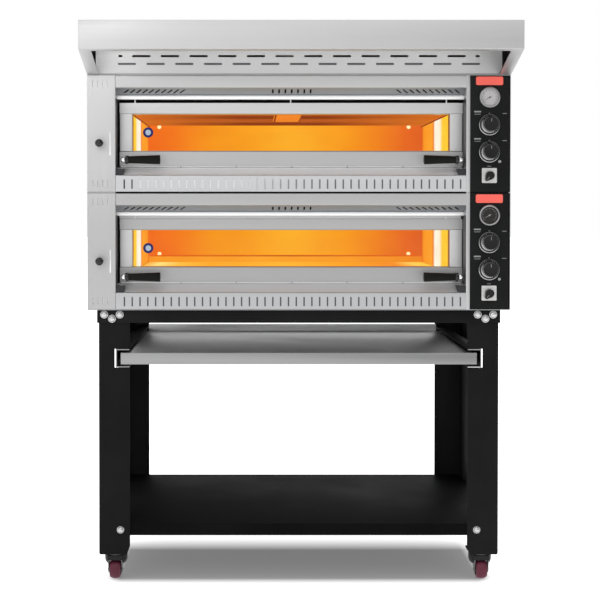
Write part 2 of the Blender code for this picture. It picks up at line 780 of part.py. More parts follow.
def build_controls(deck, z):
    """Everything a hand or an eye uses on the front of a deck, apart from the door."""
    face = FRONT_Y - GAP
    gauge = [(0, -0.030), (SHAFT_R, -0.030), (SHAFT_R, 0), (0.033, 0), (0.034, 0.003)]
    gauge += [(0.034, 0.008), (0.031, 0.011), (0.029, 0.011), (0.0285, 0.006), (0, 0.006)]
    solid(
        f"{deck}_thermometer",
        "stainless",
        turned(gauge, 20, facing_front(CONTROL_X, face, z + THERMOMETER_Z)),
        smooth=True,
    )
    dial = [(0, -0.020), (SHAFT_R, -0.020), (SHAFT_R, 0), (0.034, 0), (0.034, 0.003)]
    dial += [(0.031, 0.006), (0.0235, 0.008), (0.0225, 0.012), (0.0205, 0.036)]
    dial += [(0.0185, 0.038), (0, 0.038)]
    for role, height in KNOB_Z.items():
        centre = (CONTROL_X, face, z + height)
        knob = solid(
            f"{deck}_{role}_heat_knob",
            "black_plastic",
            turned(dial, 20, facing_front(*centre)),
            smooth=True,
        )
        set_origin(knob, centre)

    centre = (CONTROL_X, face - 0.002 - GAP, z + SWITCH_Z)
    nose = Vector((-0.6, -0.8)) * 0.019
    radius = 0.0115
    heading = math.atan2(nose.y, nose.x)
    outline = [(centre[0] + nose.x, centre[2] + nose.y)]
    for n in range(13):
        angle = heading + math.radians(60) + math.radians(240) * n / 12
        outline.append((centre[0] + radius * math.cos(angle), centre[2] + radius * math.sin(angle)))
    switch = solid(
        f"{deck}_power_switch", "black_plastic", prism("y", outline, centre[1] - 0.020, centre[1])
    )
    shaft = [(0, -0.001), (SHAFT_R, -0.001), (SHAFT_R, 0.020), (0, 0.020)]
    into = Matrix.Translation(centre) @ Matrix.Rotation(math.radians(-90), 4, "X")
    join(switch, turned(shaft, 8, into))
    set_origin(switch, centre)

    rod = [(0, -0.110), (SHAFT_R, -0.110), (SHAFT_R, 0.016)]
    ball_r, ball_z = 0.013, 0.028
    for n in range(1, 8):
        angle = math.pi * n / 8
        rod.append((ball_r * math.sin(angle), ball_z - ball_r * math.cos(angle)))
    rod.append((0, ball_z + ball_r))
    damper = solid(
        f"{deck}_damper_knob",
        "black_plastic",
        turned(rod, 12, facing_front(DAMPER_X, FRONT_Y, z + DAMPER_Z)),
        smooth=True,
    )
    set_origin(damper, (DAMPER_X, FRONT_Y, z + DAMPER_Z))


def main():
    clear_scene()
    build_stand()
    build_tray()
    for side, side_name in ((-1, "left"), (1, "right")):
        for end, end_name in ((-1, "front"), (1, "rear")):
            build_castor(f"{end_name}_{side_name}", side, end)
    build_hood()
    for deck, z in DECKS.items():
        build_casing(deck, z)
        build_fascias(deck, z)
        build_side_panels(deck, z)
        build_chamber(deck, z)
        build_door(deck, z)
        build_controls(deck, z)


main()
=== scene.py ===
"""The looks of a two-deck pizza oven on a wheeled stand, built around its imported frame."""

from math import atan2, cos, pi, radians, sin

import bmesh
import bpy
from mathutils import Matrix, Vector


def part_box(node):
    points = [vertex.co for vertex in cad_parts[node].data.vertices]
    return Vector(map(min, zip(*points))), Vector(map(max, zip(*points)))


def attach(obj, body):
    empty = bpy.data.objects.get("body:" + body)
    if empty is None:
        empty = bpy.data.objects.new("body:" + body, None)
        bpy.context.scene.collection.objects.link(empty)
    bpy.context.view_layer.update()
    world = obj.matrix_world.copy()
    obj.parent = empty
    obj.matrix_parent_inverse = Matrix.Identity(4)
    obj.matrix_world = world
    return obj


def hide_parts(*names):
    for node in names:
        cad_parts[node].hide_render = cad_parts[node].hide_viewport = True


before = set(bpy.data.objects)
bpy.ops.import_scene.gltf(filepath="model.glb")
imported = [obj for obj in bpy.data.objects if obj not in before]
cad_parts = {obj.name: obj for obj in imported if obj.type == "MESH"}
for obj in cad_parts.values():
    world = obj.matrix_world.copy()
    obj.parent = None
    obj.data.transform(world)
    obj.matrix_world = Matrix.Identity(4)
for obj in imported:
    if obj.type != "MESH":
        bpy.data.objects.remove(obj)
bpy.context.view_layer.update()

ROOT = "frame"

# Places and parts are in millimetres, and meshes are scaled to metres as they are made. The studio's
# lights and camera are placed in metres.
MM = 0.001


def limits(node):
    """The low and high corners of a CAD node."""
    return [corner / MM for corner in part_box(node)]


FRONT = limits("upper_left_panel")[0].y
DECK_Z = {deck: limits(f"{deck}_casing")[0].z for deck in ("lower", "upper")}
DECK_H = 378
OVEN_LEFT, OVEN_RIGHT = limits("upper_casing")[0].x, limits("upper_casing")[1].x
STAND_FRONT = limits("stand_front_beam")[0].y
STAND_REAR = limits("stand_rear_beam")[1].y
SHEET = 1.5

# Geometry.

# Edges that turn by more degrees than this are bevelled, or stay sharp.
BEVELLED_ABOVE, SHARP_ABOVE = 38, 34
AXES = {"x": (Vector((0, 1, 0)), Vector((0, 0, 1)), Vector((1, 0, 0))),
    "y": (Vector((1, 0, 0)), Vector((0, 0, 1)), Vector((0, 1, 0))),
    "z": (Vector((1, 0, 0)), Vector((0, 1, 0)), Vector((0, 0, 1)))}


def prism(axis, outline, low, high):
    """A flat outline, pushed along an axis from low to high."""

    def add(bm):
        across, up, along = AXES[axis]
        base = [bm.verts.new(across * a + up * b + along * low) for a, b in outline]
        pushed = bmesh.ops.extrude_face_region(bm, geom=[bm.faces.new(base)], use_keep_orig=True)
        moved = [v for v in pushed["geom"] if isinstance(v, bmesh.types.BMVert)]
        bmesh.ops.translate(bm, verts=moved, vec=along * (high - low))

    return add


def about(middle, half):
    """The span that reaches half its width to either side of its middle."""
    return (middle - half, middle + half)


def inset(span, by):
    """A span drawn in at both of its ends."""
    return (span[0] + by, span[1] - by)


def box(x, y, z):
    """A box between two places along each axis."""
    (x0, x1), (y0, y1), (z0, z1) = sorted(x), sorted(y), sorted(z)
    return prism("z", [(x0, y0), (x1, y0), (x1, y1), (x0, y1)], z0, z1)


def turned(profile, segments, matrix=None, bored=False):
    """A profile of (radius, height) points, turned about Z; bored joins its last point to its first."""

    def add(bm):
        place = matrix or Matrix()
        rings = []
        for radius, height in profile:
            count = segments if radius else 1
            angles = [2 * pi * n / segments for n in range(count)]
            points = [(radius * cos(a), radius * sin(a), height) for a in angles]
            rings.append([bm.verts.new(place @ Vector(p)) for p in points])
        pairs = list(zip(rings, rings[1:]))
        if bored:
            pairs.append((rings[-1], rings[0]))
        for first, second in pairs:
            for n in range(segments):
                m = (n + 1) % segments
                if len(first) == 1:
                    bm.faces.new((first[0], second[m], second[n]))
                elif len(second) == 1:
                    bm.faces.new((first[n], first[m], second[0]))
                else:
                    bm.faces.new((first[n], first[m], second[m], second[n]))

    return add


def tube(path, radius, sides):
    """A round bar along a path of points; radius is one number or one for each point."""

    def add(bm):
        rings = []
        side = None
        for n, point in enumerate(path):
            along = (path[min(n + 1, len(path) - 1)] - path[max(n - 1, 0)]).normalized()
            if side is None:
                side = along.orthogonal()
            side = (side - along * side.dot(along)).normalized()
            up = along.cross(side)
            r = radius[n] if isinstance(radius, (list, tuple)) else radius
            ring = []
            for s in range(sides):
                angle = 2 * pi * s / sides
                ring.append(bm.verts.new(point + side * (r * cos(angle)) + up * (r * sin(angle))))
            rings.append(ring)
        for first, second in zip(rings, rings[1:]):
            for s in range(sides):
                t = (s + 1) % sides
                bm.faces.new((first[s], first[t], second[t], second[s]))
        bm.faces.new(rings[0][::-1])
        bm.faces.new(rings[-1])

    return add


def folded(points, thickness):
    """The closed outline of sheet folded along points; it lies to the right of the way they run."""
    points = [Vector(p) for p in points]
    offset = []
    for n, point in enumerate(points):
        normals = []
        for a, b in ((n - 1, n), (n, n + 1)):
            if a >= 0 and b < len(points):
                run = (points[b] - points[a]).normalized()
                normals.append(Vector((run.y, -run.x)))
        mitre = sum(normals, Vector((0, 0))).normalized()
        offset.append(point + mitre * (thickness / mitre.dot(normals[0])))
    return [tuple(p) for p in points] + [tuple(p) for p in reversed(offset)]


def rounded(points, radius, steps=4):
    """An open line of points with each inner corner turned into an arc."""
    points = [Vector(p) for p in points]
    line = [points[0]]
    for before, corner, after in zip(points, points[1:], points[2:]):
        reach = min(radius, (before - corner).length * 0.45, (after - corner).length * 0.45)
        start = corner + (before - corner).normalized() * reach
        end = corner + (after - corner).normalized() * reach
        for n in range(steps + 1):
            t = n / steps
            line.append(start * (1 - t) ** 2 + corner * (2 * t * (1 - t)) + end * t**2)
    line.append(points[-1])
    return [tuple(p) for p in line]


def pill(centre, length, width, lean=0.0, steps=5):
    """The outline of a slot with round ends; it stands upright unless it leans."""
    half = length / 2 - width / 2
    points = []
    for end in (0, 1):
        for n in range(steps + 1):
            angle = pi * n / steps + pi * end
            x = width / 2 * cos(angle)
            y = width / 2 * sin(angle) + (half if end == 0 else -half)
            turned_x = x * cos(lean) + y * sin(lean)
            turned_y = y * cos(lean) - x * sin(lean)
            points.append((centre[0] + turned_x, centre[1] + turned_y))
    return points


def placed(x, y, z, degrees, axis):
    """Spins a turned piece about an axis, and puts its base at a point."""
    return Matrix.Translation((x, y, z)) @ Matrix.Rotation(radians(degrees), 4, axis)


def facing_front(x, y, z):
    return placed(x, y, z, 90, "X")


def domed(radius, height, steps):
    """The profile of a dome, from the middle of its flat base to its top."""
    angles = [pi / 2 * n / steps for n in range(steps)]
    return [(0, 0)] + [(radius * cos(a), height * sin(a)) for a in angles] + [(0, height)]


def rounded_plate(x, z, half, tall, r):
    """The outline of an upright rectangle with round corners."""
    corners = ((1, 1, 0), (-1, 1, 90), (-1, -1, 180), (1, -1, 270))
    turns = [(a, b, radians(start + 90 * n / 4)) for a, b, start in corners for n in range(5)]
    return [(x + a * (half - r) + r * cos(t), z + b * (tall - r) + r * sin(t)) for a, b, t in turns]


def solid_mesh(name, adders):
    bm = bmesh.new()
    for add in adders:
        add(bm)
    bm.transform(Matrix.Scale(MM, 4))
    bmesh.ops.recalc_face_normals(bm, faces=bm.faces)
    mesh = bpy.data.meshes.new(name)
    bm.to_mesh(mesh)
    bm.free()
    return mesh


def linked(name, mesh):
    obj = bpy.data.objects.new(name, mesh)
    bpy.context.scene.collection.objects.link(obj)
    return obj


def carve(obj, adders, operation="DIFFERENCE"):
    """Cuts bodies out of an object, or joins them to it, for good."""
    guide = linked("guide", solid_mesh("guide", adders))
    modifier = obj.modifiers.new("carve", "BOOLEAN")
    modifier.operation = operation
    modifier.object = guide
    bpy.context.view_layer.update()
    result = obj.evaluated_get(bpy.context.evaluated_depsgraph_get())
    obj.data = bpy.data.meshes.new_from_object(result)
    obj.modifiers.clear()
    bpy.data.objects.remove(guide)


def soften(obj, width, segments=2):
    """Rounds an object's edges with a small bevel, and lets its faces stay flat."""
    bevel = obj.modifiers.new("edge", "BEVEL")
    bevel.width = width * MM
    bevel.segments = segments
    bevel.limit_method = "ANGLE"
    bevel.angle_limit = radians(BEVELLED_ABOVE)
    bevel.harden_normals = True
    obj.data.shade_smooth()


def piece(name, material, body, *adders, slot=None, bevel=0.0, cuts=(), joins=(), stands_for=()):
    """One visible piece: its solids, cuts, finish and body. Its slot argument is not used."""
    obj = linked(name, solid_mesh(name, adders))
    for part in joins:
        carve(obj, [part], "UNION")
    if cuts:
        carve(obj, cuts)
    if bevel:
        soften(obj, bevel)
    else:
        obj.data.shade_smooth()
        obj.data.set_sharp_from_angle(angle=radians(SHARP_ABOVE))
    obj.data.materials.clear()
    obj.data.materials.append(material)
    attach(obj, body)
    if stands_for:
        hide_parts(*stands_for)
    return obj


def keep(node, material, bevel=0.0):
    """A CAD node that stays: a new finish, and small bevels on its edges."""
    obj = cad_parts[node]
    while len(obj.material_slots) < 1:
        obj.data.materials.append(None)
    for slot in obj.material_slots:
        slot.link = "OBJECT"
        slot.material = material
    if bevel:
        weld = obj.modifiers.new("weld", "WELD")
        weld.merge_threshold = 0.00002
        soften(obj, bevel)
    return obj


# Materials.

# A colour mix node's sockets by number, since their names repeat.
FIRST_COLOUR, SECOND_COLOUR, MIXED_COLOUR = 6, 7, 2
# Depth and strength of the bumps in a brushed grain.
GRAIN_BUMP = (0.00006, 0.35)
# The width of the baking chambers, over which their glow changes.
SPAN_X = (-550, 500)

class Tree:
    """A material's node tree, with short ways to add and join nodes."""

    def __init__(self, name):
        self.material = bpy.data.materials.new(name)
        self.material.use_nodes = True
        self.tree = self.material.node_tree
        self.shader = self.tree.nodes["Principled BSDF"]
        self.place = self.add("ShaderNodeTexCoord").outputs["Object"]
        self.split = None

    def add(self, kind, **settings):
        node = self.tree.nodes.new(kind)
        for key, value in settings.items():
            setattr(node, key, value)
        return node

    def link(self, output, socket):
        self.tree.links.new(output, socket)

    def feed(self, socket, value):
        if isinstance(value, bpy.types.NodeSocket):
            self.link(value, socket)
        else:
            socket.default_value = value

    def along(self, axis, low, high, start, end):
        """Maps the place along an axis, from start..end in millimetres, to low..high."""
        if not self.split:
            self.split = self.add("ShaderNodeSeparateXYZ")
            self.link(self.place, self.split.inputs[0])
        return self.spread(self.split.outputs[axis.upper()], low, high, start * MM, end * MM)

    def noise(self, scale, stretch=(1, 1, 1), detail=3.0, rough=0.5):
        mapping = self.add("ShaderNodeMapping")
        mapping.inputs["Scale"].default_value = stretch
        self.link(self.place, mapping.inputs["Vector"])
        noise = self.add("ShaderNodeTexNoise")
        noise.inputs["Scale"].default_value = scale
        noise.inputs["Detail"].default_value = detail
        noise.inputs["Roughness"].default_value = rough
        self.link(mapping.outputs[0], noise.inputs["Vector"])
        return noise.outputs["Fac"]

    def spread(self, value, low, high, start=0.3, end=0.7):
        """Maps a value from start..end to low..high."""
        node = self.add("ShaderNodeMapRange")
        for key, number in zip(("From Min", "From Max", "To Min", "To Max"), (start, end, low, high)):
            node.inputs[key].default_value = number
        self.link(value, node.inputs["Value"])
        return node.outputs["Result"]

    def ramp(self, value, stops):
        """A colour ramp; stops are (position, colour)."""
        node = self.add("ShaderNodeValToRGB")
        elements = node.color_ramp.elements
        while len(elements) < len(stops):
            elements.new(0.5)
        for element, (position, colour) in zip(elements, stops):
            element.position = position
            element.color = (*rgb(colour), 1.0)
        self.link(value, node.inputs["Fac"])
        return node.outputs["Color"]

    def mix(self, factor, first, second, mode="MIX"):
        node = self.add("ShaderNodeMix", data_type="RGBA", blend_type=mode)
        self.feed(node.inputs[0], factor)
        for number, colour in ((FIRST_COLOUR, first), (SECOND_COLOUR, second)):
            linked_colour = isinstance(colour, bpy.types.NodeSocket)
            self.feed(node.inputs[number], colour if linked_colour else (*rgb(colour), 1.0))
        return node.outputs[MIXED_COLOUR]

    def bump(self, height, distance, strength=1.0):
        node = self.add("ShaderNodeBump")
        node.inputs["Distance"].default_value = distance
        node.inputs["Strength"].default_value = strength
        self.link(height, node.inputs["Height"])
        self.link(node.outputs["Normal"], self.shader.inputs["Normal"])

    def set(self, **values):
        """Gives inputs of the shader a value or a link each."""
        for key, value in values.items():
            self.feed(self.shader.inputs[key.replace("_", " ")], value)


def rgb(colour):
    """A colour of three numbers; a single number is a grey."""
    return (colour,) * 3 if isinstance(colour, (int, float)) else colour


def toned(colour, amount):
    return tuple(min(1.0, c * (1 + amount)) for c in rgb(colour))


# Noise drawn out into a grain along one axis.
GRAINS = {"x": (1.2, 260, 260), "y": (260, 1.2, 260), "z": (260, 260, 1.2)}


def brushed(name, colour, roughness=0.5, along="x", tone=0.05, metal=1.0, lower_deck_shade=1.0):
    """Brushed sheet steel with its grain along X, Y or Z; a factor below 1 darkens it on the lower deck as
    painted shade.
    """
    t = Tree(name)
    grain = t.noise(1.0, GRAINS[along], detail=4.0, rough=0.7)
    cloud = t.noise(2.3, (1, 1, 1.6), detail=2.0)
    fine = t.mix(t.spread(grain, 0, 1), toned(colour, -tone), toned(colour, tone))
    sheet = t.mix(t.spread(cloud, 0, 0.5), fine, toned(colour, tone * 0.7))
    # Painted shade: below the seam between the decks the colour is multiplied down by the factor.
    if lower_deck_shade < 1:
        seam = DECK_Z["upper"]
        low = t.along("z", 1, 0, seam - 120, seam + 80)
        sheet = t.mix(low, sheet, lower_deck_shade, "MULTIPLY")
    t.set(Base_Color=sheet, Roughness=t.spread(grain, roughness - 0.06, roughness + 0.08))
    t.bump(grain, *GRAIN_BUMP)
    t.set(Metallic=metal)
    return t.material


def coated(name, colour, roughness, scale=900.0, depth=0.00008, tone=0.25, coat=0.0, shine=0.5):
    """Powder coat or moulded plastic: an even colour with a fine orange-peel skin."""
    t = Tree(name)
    t.set(Specular_IOR_Level=shine)
    skin = t.noise(scale, detail=2.0)
    cloud = t.noise(5.0, detail=3.0)
    even = t.mix(t.spread(cloud, 0, 1), toned(colour, -tone), toned(colour, tone))
    t.set(Base_Color=even, Roughness=t.spread(cloud, roughness - 0.05, roughness + 0.05))
    t.bump(skin, depth, 0.5)
    if coat:
        t.set(Coat_Weight=coat, Coat_Roughness=0.12)
    return t.material


def plated(name, colour, roughness):
    """Chrome or zinc plate: bright, with faint handling marks."""
    t = Tree(name)
    marks = t.noise(60.0, detail=5.0, rough=0.65)
    shade = t.mix(t.spread(marks, 0, 1), toned(colour, -0.08), toned(colour, 0.05))
    t.set(Base_Color=shade, Roughness=t.spread(marks, roughness, roughness + 0.12), Metallic=1.0)
    return t.material


def glowing(name, stops, axis="x", span=SPAN_X, strength=1.0):
    """Chamber sheet that glows with painted lamp light: its glow changes from place to place along an axis.
    """
    t = Tree(name)
    value = t.along(axis, 0, 1, *span)
    stain = t.noise(7.0, (1, 1, 3), detail=4.0)
    colour = t.ramp(value, stops)
    shaded = t.mix(t.spread(stain, 0, 0.22), colour, (0.8, 0.4, 0.2), "MULTIPLY")
    t.set(Base_Color=t.mix(0.05, 0, shaded), Emission_Color=shaded, Roughness=t.spread(stain, 0.42, 0.58),
        Emission_Strength=strength, Specular_IOR_Level=0.0)
    return t.material


def window_glass(name):
    t = Tree(name)
    haze = t.noise(9.0, (1, 1, 2), detail=3.0)
    t.set(Roughness=t.spread(haze, 0.01, 0.05), Base_Color=(1.0, 0.99, 0.97, 1.0), Transmission_Weight=1.0,
        IOR=1.14)
    return t.material


def fired_stone(name):
    """Gritty fired clay, scorched in patches; the lamps light it, most of all along its front edge."""
    t = Tree(name)
    grit = t.noise(420.0, detail=6.0, rough=0.7)
    scorch = t.noise(6.0, detail=4.0)
    across = t.along("x", 0, 1, *SPAN_X)
    front = t.along("y", 1, 0, FRONT + 120, FRONT + 360)
    glow = t.mix(front, t.ramp(across, STONE_STOPS), t.ramp(across, STONE_EDGE_STOPS))
    pale = t.mix(t.spread(grit, 0, 1), (0.3, 0.16, 0.07), (0.42, 0.25, 0.12))
    clay = t.mix(t.spread(scorch, 0, 0.6), pale, (0.2, 0.09, 0.04))
    t.set(Base_Color=t.mix(0.3, 0, clay))
    speckled = t.mix(t.spread(grit, 0, 0.25), glow, (0.8, 0.5, 0.3), "MULTIPLY")
    t.set(Emission_Color=speckled)
    t.bump(grit, 0.0006, 0.6)
    t.set(Roughness=0.9, Specular_IOR_Level=0.0, Emission_Strength=1.0)
    return t.material


def tray_steel():
    """The tray's sheet: dull and even on top; painted shade darkens it where it turns down at the front,
    and painted light brightens its upstand at the back.
    """
    t = Tree("steel_tray_painted_light")
    low = limits("sliding_tray")[0]
    # Painted shade: the front edge, where the sheet turns down, takes the darker lip colour.
    top = t.ramp(t.along("y", 0, 1, low.y, low.y + 20), [(0.1, 0), (0.14, 1)])
    grain = t.noise(1.0, GRAINS["x"], detail=4.0, rough=0.7)
    sheet = t.mix(t.spread(grain, 0, 1), 0.64, 0.68)
    lip = t.mix(t.spread(grain, 0, 1), 0.34, 0.38)
    # Painted light: the highest part of the tray, its upstand at the back, is near white.
    back = t.ramp(t.along("z", 0, 1, low.z, low.z + 100), [(0.36, 0), (0.4, 1)])
    t.set(Base_Color=t.mix(back, t.mix(top, lip, sheet), 0.9), Roughness=t.spread(grain, 0.36, 0.44))
    t.bump(grain, *GRAIN_BUMP)
    t.set(Metallic=1.0)
    return t.material


# The front's brushed steels (front, fascia, vents, door's low rail, sill, uprights, column) are copies of
# one stainless sheet, each lighter or darker as painted light and shade for how light falls on its place.
STEEL = brushed("steel_front", 0.625, lower_deck_shade=0.77)
FASCIA_STEEL = brushed("steel_fascia", 0.555, lower_deck_shade=0.83)
VENT_STEEL = brushed("steel_vented", (0.65, 0.66, 0.67), lower_deck_shade=0.82)
LOW_STEEL = brushed("steel_low", (0.53, 0.525, 0.53), lower_deck_shade=0.88)
# Painted light: the sill's copy of the steel is near white and half diffuse, so it shows bright.
LIT_SILL_STEEL = brushed("steel_sill_painted_light", (0.97, 0.98, 0.99), metal=0.4, lower_deck_shade=0.73)
STEEL_UP = brushed("steel_upright", 0.68, along="z")
COLUMN_STEEL = brushed("steel_column", 0.6, along="z", lower_deck_shade=0.88)
# Painted shade: the vented slope over each door faces down, so its copy of the steel is much darker.
SHADED_SLOPE_STEEL = brushed("steel_slope_painted_shade", (0.385, 0.4, 0.42))
STEEL_SIDE = brushed("steel_side", (0.52, 0.52, 0.525), 0.44, "y")
HOOD_STEEL = brushed("steel_hood", 0.6, 0.52, tone=0.02)
TRAY_STEEL = tray_steel()
# Painted highlight: near-white steel for the fascia lips, column beads and door hems, so they show as
# bright lines.
HIGHLIGHT_STEEL = brushed("steel_painted_highlight", 0.97, 0.4, tone=0.01, metal=0.5)
POWDER = coated("black_powder", (0.0092, 0.0092, 0.0095), 0.5, shine=0.08)
PANEL = coated("black_panel", (0.0125, 0.013, 0.013), 0.46, 700.0, shine=0.06)
PLASTIC = coated("black_plastic", 0.009, 0.34, 1400.0, 0.00004, shine=0.25)
# Black for seals, pivots and joints, and painted shade where it fills hollows.
SHADOW = coated("black_seal_and_painted_shade", 0.006, 0.7, shine=0.05)
CHROME = plated("chrome", 0.86, 0.12)
ZINC = plated("dark_zinc", (0.17, 0.17, 0.172), 0.3)
CASTOR_BLACK = coated("castor_black", 0.01, 0.3, 700.0, 0.00004, shine=0.22)
BOLT = plated("bolt_plate", 0.66, 0.2)
RED_TAG = coated("red_tag", (1.0, 0.13, 0.095), 0.35, 300.0, 0.00003, 0.04, coat=0.3)
PALE_INK = coated("pale_ink", 0.3, 0.5, 900.0, 0.00002, 0.08)
DIAL = coated("dial_enamel", (0.46, 0.44, 0.45), 0.32, 300.0, 0.00003, 0.3, coat=0.3)
BLUE = coated("blue_ceramic", (0.01, 0.014, 0.14), 0.3, 300.0, 0.00003, 0.1, shine=0.3)
TYRE = coated("wheel_tread", (0.115, 0.016, 0.034), 0.42, 500.0, 0.00008, 0.2, shine=0.35)
HUB = coated("wheel_hub", (0.045, 0.01, 0.018), 0.4, 500.0, 0.00006, 0.2, shine=0.35)
GLASS = window_glass("oven_glass")

# Painted light: light grey, half diffuse steel for the strip in the lower deck's door gap, standing for the
# door's lit top edge.
LIT_STRIP_STEEL = brushed("steel_strip_painted_light", 0.62, metal=0.3)
RAIL_STEEL = brushed("steel_rail", 0.36, 0.45, metal=0.6)
SHELF = coated("black_shelf", (0.0062, 0.0062, 0.0065), 0.6, shine=0.015)
GRIP = coated("grip_plastic", (0.009, 0.0092, 0.0075), 0.38, 1100.0, 0.00005, shine=0.08)
BALL = plated("ball_black", (0.05, 0.05, 0.052), 0.2)
GLOSS = coated("gloss_black", (0.01, 0.01, 0.011), 0.16, 400.0, 0.00002, shine=0.45)
KNOB_HIGHLIGHT = plated("knob_painted_highlight", 0.66, 0.24)
SATIN_DARK = plated("satin_sleeve", 0.34, 0.28)
PLATE = coated("switch_plate", (0.66, 0.66, 0.65), 0.34, 500.0, 0.00002, 0.04, coat=0.3)
LENS = coated("pilot_lens", (0.36, 0.36, 0.35), 0.18, 300.0, 0.00002, 0.05, coat=0.5)
PALE_BLUE = coated("pale_ceramic", (0.5, 0.6, 0.74), 0.28, 300.0, 0.00002, 0.08)
DARK_DIAL = coated("dark_dial", (0.022, 0.019, 0.016), 0.3, 600.0, 0.00002, 0.15, shine=0.3)
DARK_INK = coated("dark_ink", (0.12, 0.11, 0.11), 0.5, 900.0, 0.00002, 0.08)
# Painted shade: dark steel for sheets in gaps and behind slots, where shade falls.
SHADE_STEEL = brushed("steel_painted_shade", (0.12, 0.12, 0.125), 0.45, "z")
# Painted shade: near-black steel for the blocks at the sill's ends.
SHADED_CORNER = brushed("steel_corner_painted_shade", (0.055, 0.055, 0.058), 0.4)
SEAM_STEEL = brushed("steel_seam", 0.4)
# Painted shade: black for the plate round each chamber's mouth, so the gaps round the door look dark.
MOUTH_SHADE = coated("mouth_painted_shade", 0.012, 0.6, shine=0.1)
INNER = brushed("steel_inner", (0.42, 0.36, 0.29), 0.42, tone=0.12)

# Colours of painted lamp light in the chambers: the walls, stone and roof glow with them, palest near the
# lamps.
ORANGE = (0.913, 0.246, 0.012)
YELLOW, LAMPLIT_WHITE = (1.0, 0.64, 0.045), (1.0, 0.97, 0.8)
BAND, DARK_BAND = (0.46, 0.105, 0.014), (0.27, 0.05, 0.008)
REAR_STOPS = [(0.0, (0.87, 0.155, 0.012)), (0.1, (0.89, 0.2, 0.012)), (0.24, (0.92, 0.33, 0.013)),
    (0.38, (0.94, 0.37, 0.015)), (0.5, (0.97, 0.45, 0.024)), (0.58, (0.965, 0.43, 0.022)),
    (0.72, (0.93, 0.34, 0.014)), (0.84, (0.87, 0.24, 0.014)), (0.94, (0.79, 0.15, 0.018)),
    (1.0, (0.74, 0.13, 0.018))]
SIDE_STOPS = [(0.0, YELLOW), (0.24, YELLOW), (0.34, LAMPLIT_WHITE), (0.5, LAMPLIT_WHITE),
    (0.55, (0.85, 0.22, 0.02)), (0.6, (0.96, 0.38, 0.03)), (0.92, (0.95, 0.34, 0.02)),
    (1.0, (0.8, 0.14, 0.015))]
STONE_STOPS = [(0.0, (0.95, 0.42, 0.03)), (0.05, (1.0, 0.8, 0.25)), (0.12, (0.98, 0.55, 0.06)),
    (0.24, (0.97, 0.42, 0.025)), (0.5, (0.985, 0.5, 0.035)), (0.72, (0.95, 0.38, 0.02)),
    (0.88, (0.9, 0.28, 0.02)), (0.95, (1.0, 0.66, 0.12)), (1.0, YELLOW)]
STONE_EDGE_STOPS = [(0.0, YELLOW), (0.05, LAMPLIT_WHITE), (0.16, LAMPLIT_WHITE), (0.28, (1.0, 0.8, 0.2)),
    (0.42, (1.0, 0.52, 0.05)), (0.62, (1.0, 0.56, 0.06)), (0.76, (1.0, 0.82, 0.26)), (0.86, LAMPLIT_WHITE),
    (0.93, (1.0, 0.86, 0.4)), (1.0, YELLOW)]


def roof_glow(name, y):
    """The chamber's roof, glowing with painted lamp light: darker in bands from front to back, and warmer
    towards its ends, near the lamps.
    """
    t = Tree(name)
    depth = t.along("y", 0, 1, *y)
    bands = [(0.0, BAND), (0.15, BAND), (0.17, DARK_BAND), (0.39, DARK_BAND), (0.42, BAND), (0.66, BAND),
        (0.69, DARK_BAND), (0.93, DARK_BAND), (0.96, (0.62, 0.16, 0.016))]
    across = t.along("x", 0, 1, *SPAN_X)
    # Painted light: warmer towards the ends of the roof, where the lamps are.
    ends = t.ramp(across, [(0.0, 1), (0.16, 0.4), (0.34, 0), (0.62, 0), (1.0, 1)])
    stain = t.noise(7.0, (1, 1, 3), detail=4.0)
    warm = t.mix(ends, t.ramp(depth, bands), (0.66, 0.17, 0.018))
    glow = t.mix(t.spread(stain, 0.0, 0.3), warm, (0.75, 0.3, 0.1), "MULTIPLY")
    t.set(Emission_Color=glow, Base_Color=t.mix(0.05, 0, glow), Roughness=t.spread(stain, 0.4, 0.6),
        Emission_Strength=1.0, Specular_IOR_Level=0.0)
    return t.material


def chamber_materials(deck):
    y = (FRONT + 100, FRONT + 766)
    rear = glowing(f"{deck}_rear_glow", REAR_STOPS)
    side = glowing(f"{deck}_side_glow", SIDE_STOPS, "y", y)
    return rear, side, roof_glow(f"{deck}_roof_glow", y)


def vent_backing():
    """Sheet behind the lower vents, with painted light and shade: near white on the left, and darker
    elsewhere.
    """
    t = Tree("vent_backing")
    value = t.along("x", 0, 1, -600, 540)
    dark, pale = 0.05, 1.0
    stops = [(0.0, dark), (0.055, dark), (0.07, pale), (0.36, pale), (0.5, 0.36), (0.6, 0.2), (1.0, 0.13)]
    colour = t.ramp(value, stops)
    grain = t.noise(1.0, GRAINS["x"], detail=4.0)
    t.set(Base_Color=t.mix(t.spread(grain, 0, 0.2), colour, 0.6, "MULTIPLY"), Roughness=0.5, Metallic=0.0,
        Specular_IOR_Level=0.2)
    return t.material


PAINTED_VENT_BACK = vent_backing()
STONE = fired_stone("fired_stone")
GAP_GLOW = glowing("roof_gap_glow", [(0.0, ORANGE), (0.5, (0.87, 0.25, 0.022)), (1.0, ORANGE)])
STOP_GLOW = glowing("rear_stop_glow",
    [(0.0, (0.8, 0.14, 0.01)), (0.5, (0.6, 0.11, 0.01)), (1.0, (0.8, 0.14, 0.01))])
GUARD_GLOW = glowing("rear_guard_glow",
    [(0.0, (0.93, 0.34, 0.02)), (0.5, (0.96, 0.4, 0.025)), (1.0, (0.88, 0.27, 0.016))])
ELEMENT = glowing("element_glow", [(0.0, DARK_BAND), (1.0, DARK_BAND)])
LAMP = glowing("lamp_glass", [(0.0, (1.0, 0.85, 0.45)), (1.0, (1.0, 0.85, 0.45))], strength=1.2)


# Hood and stand.


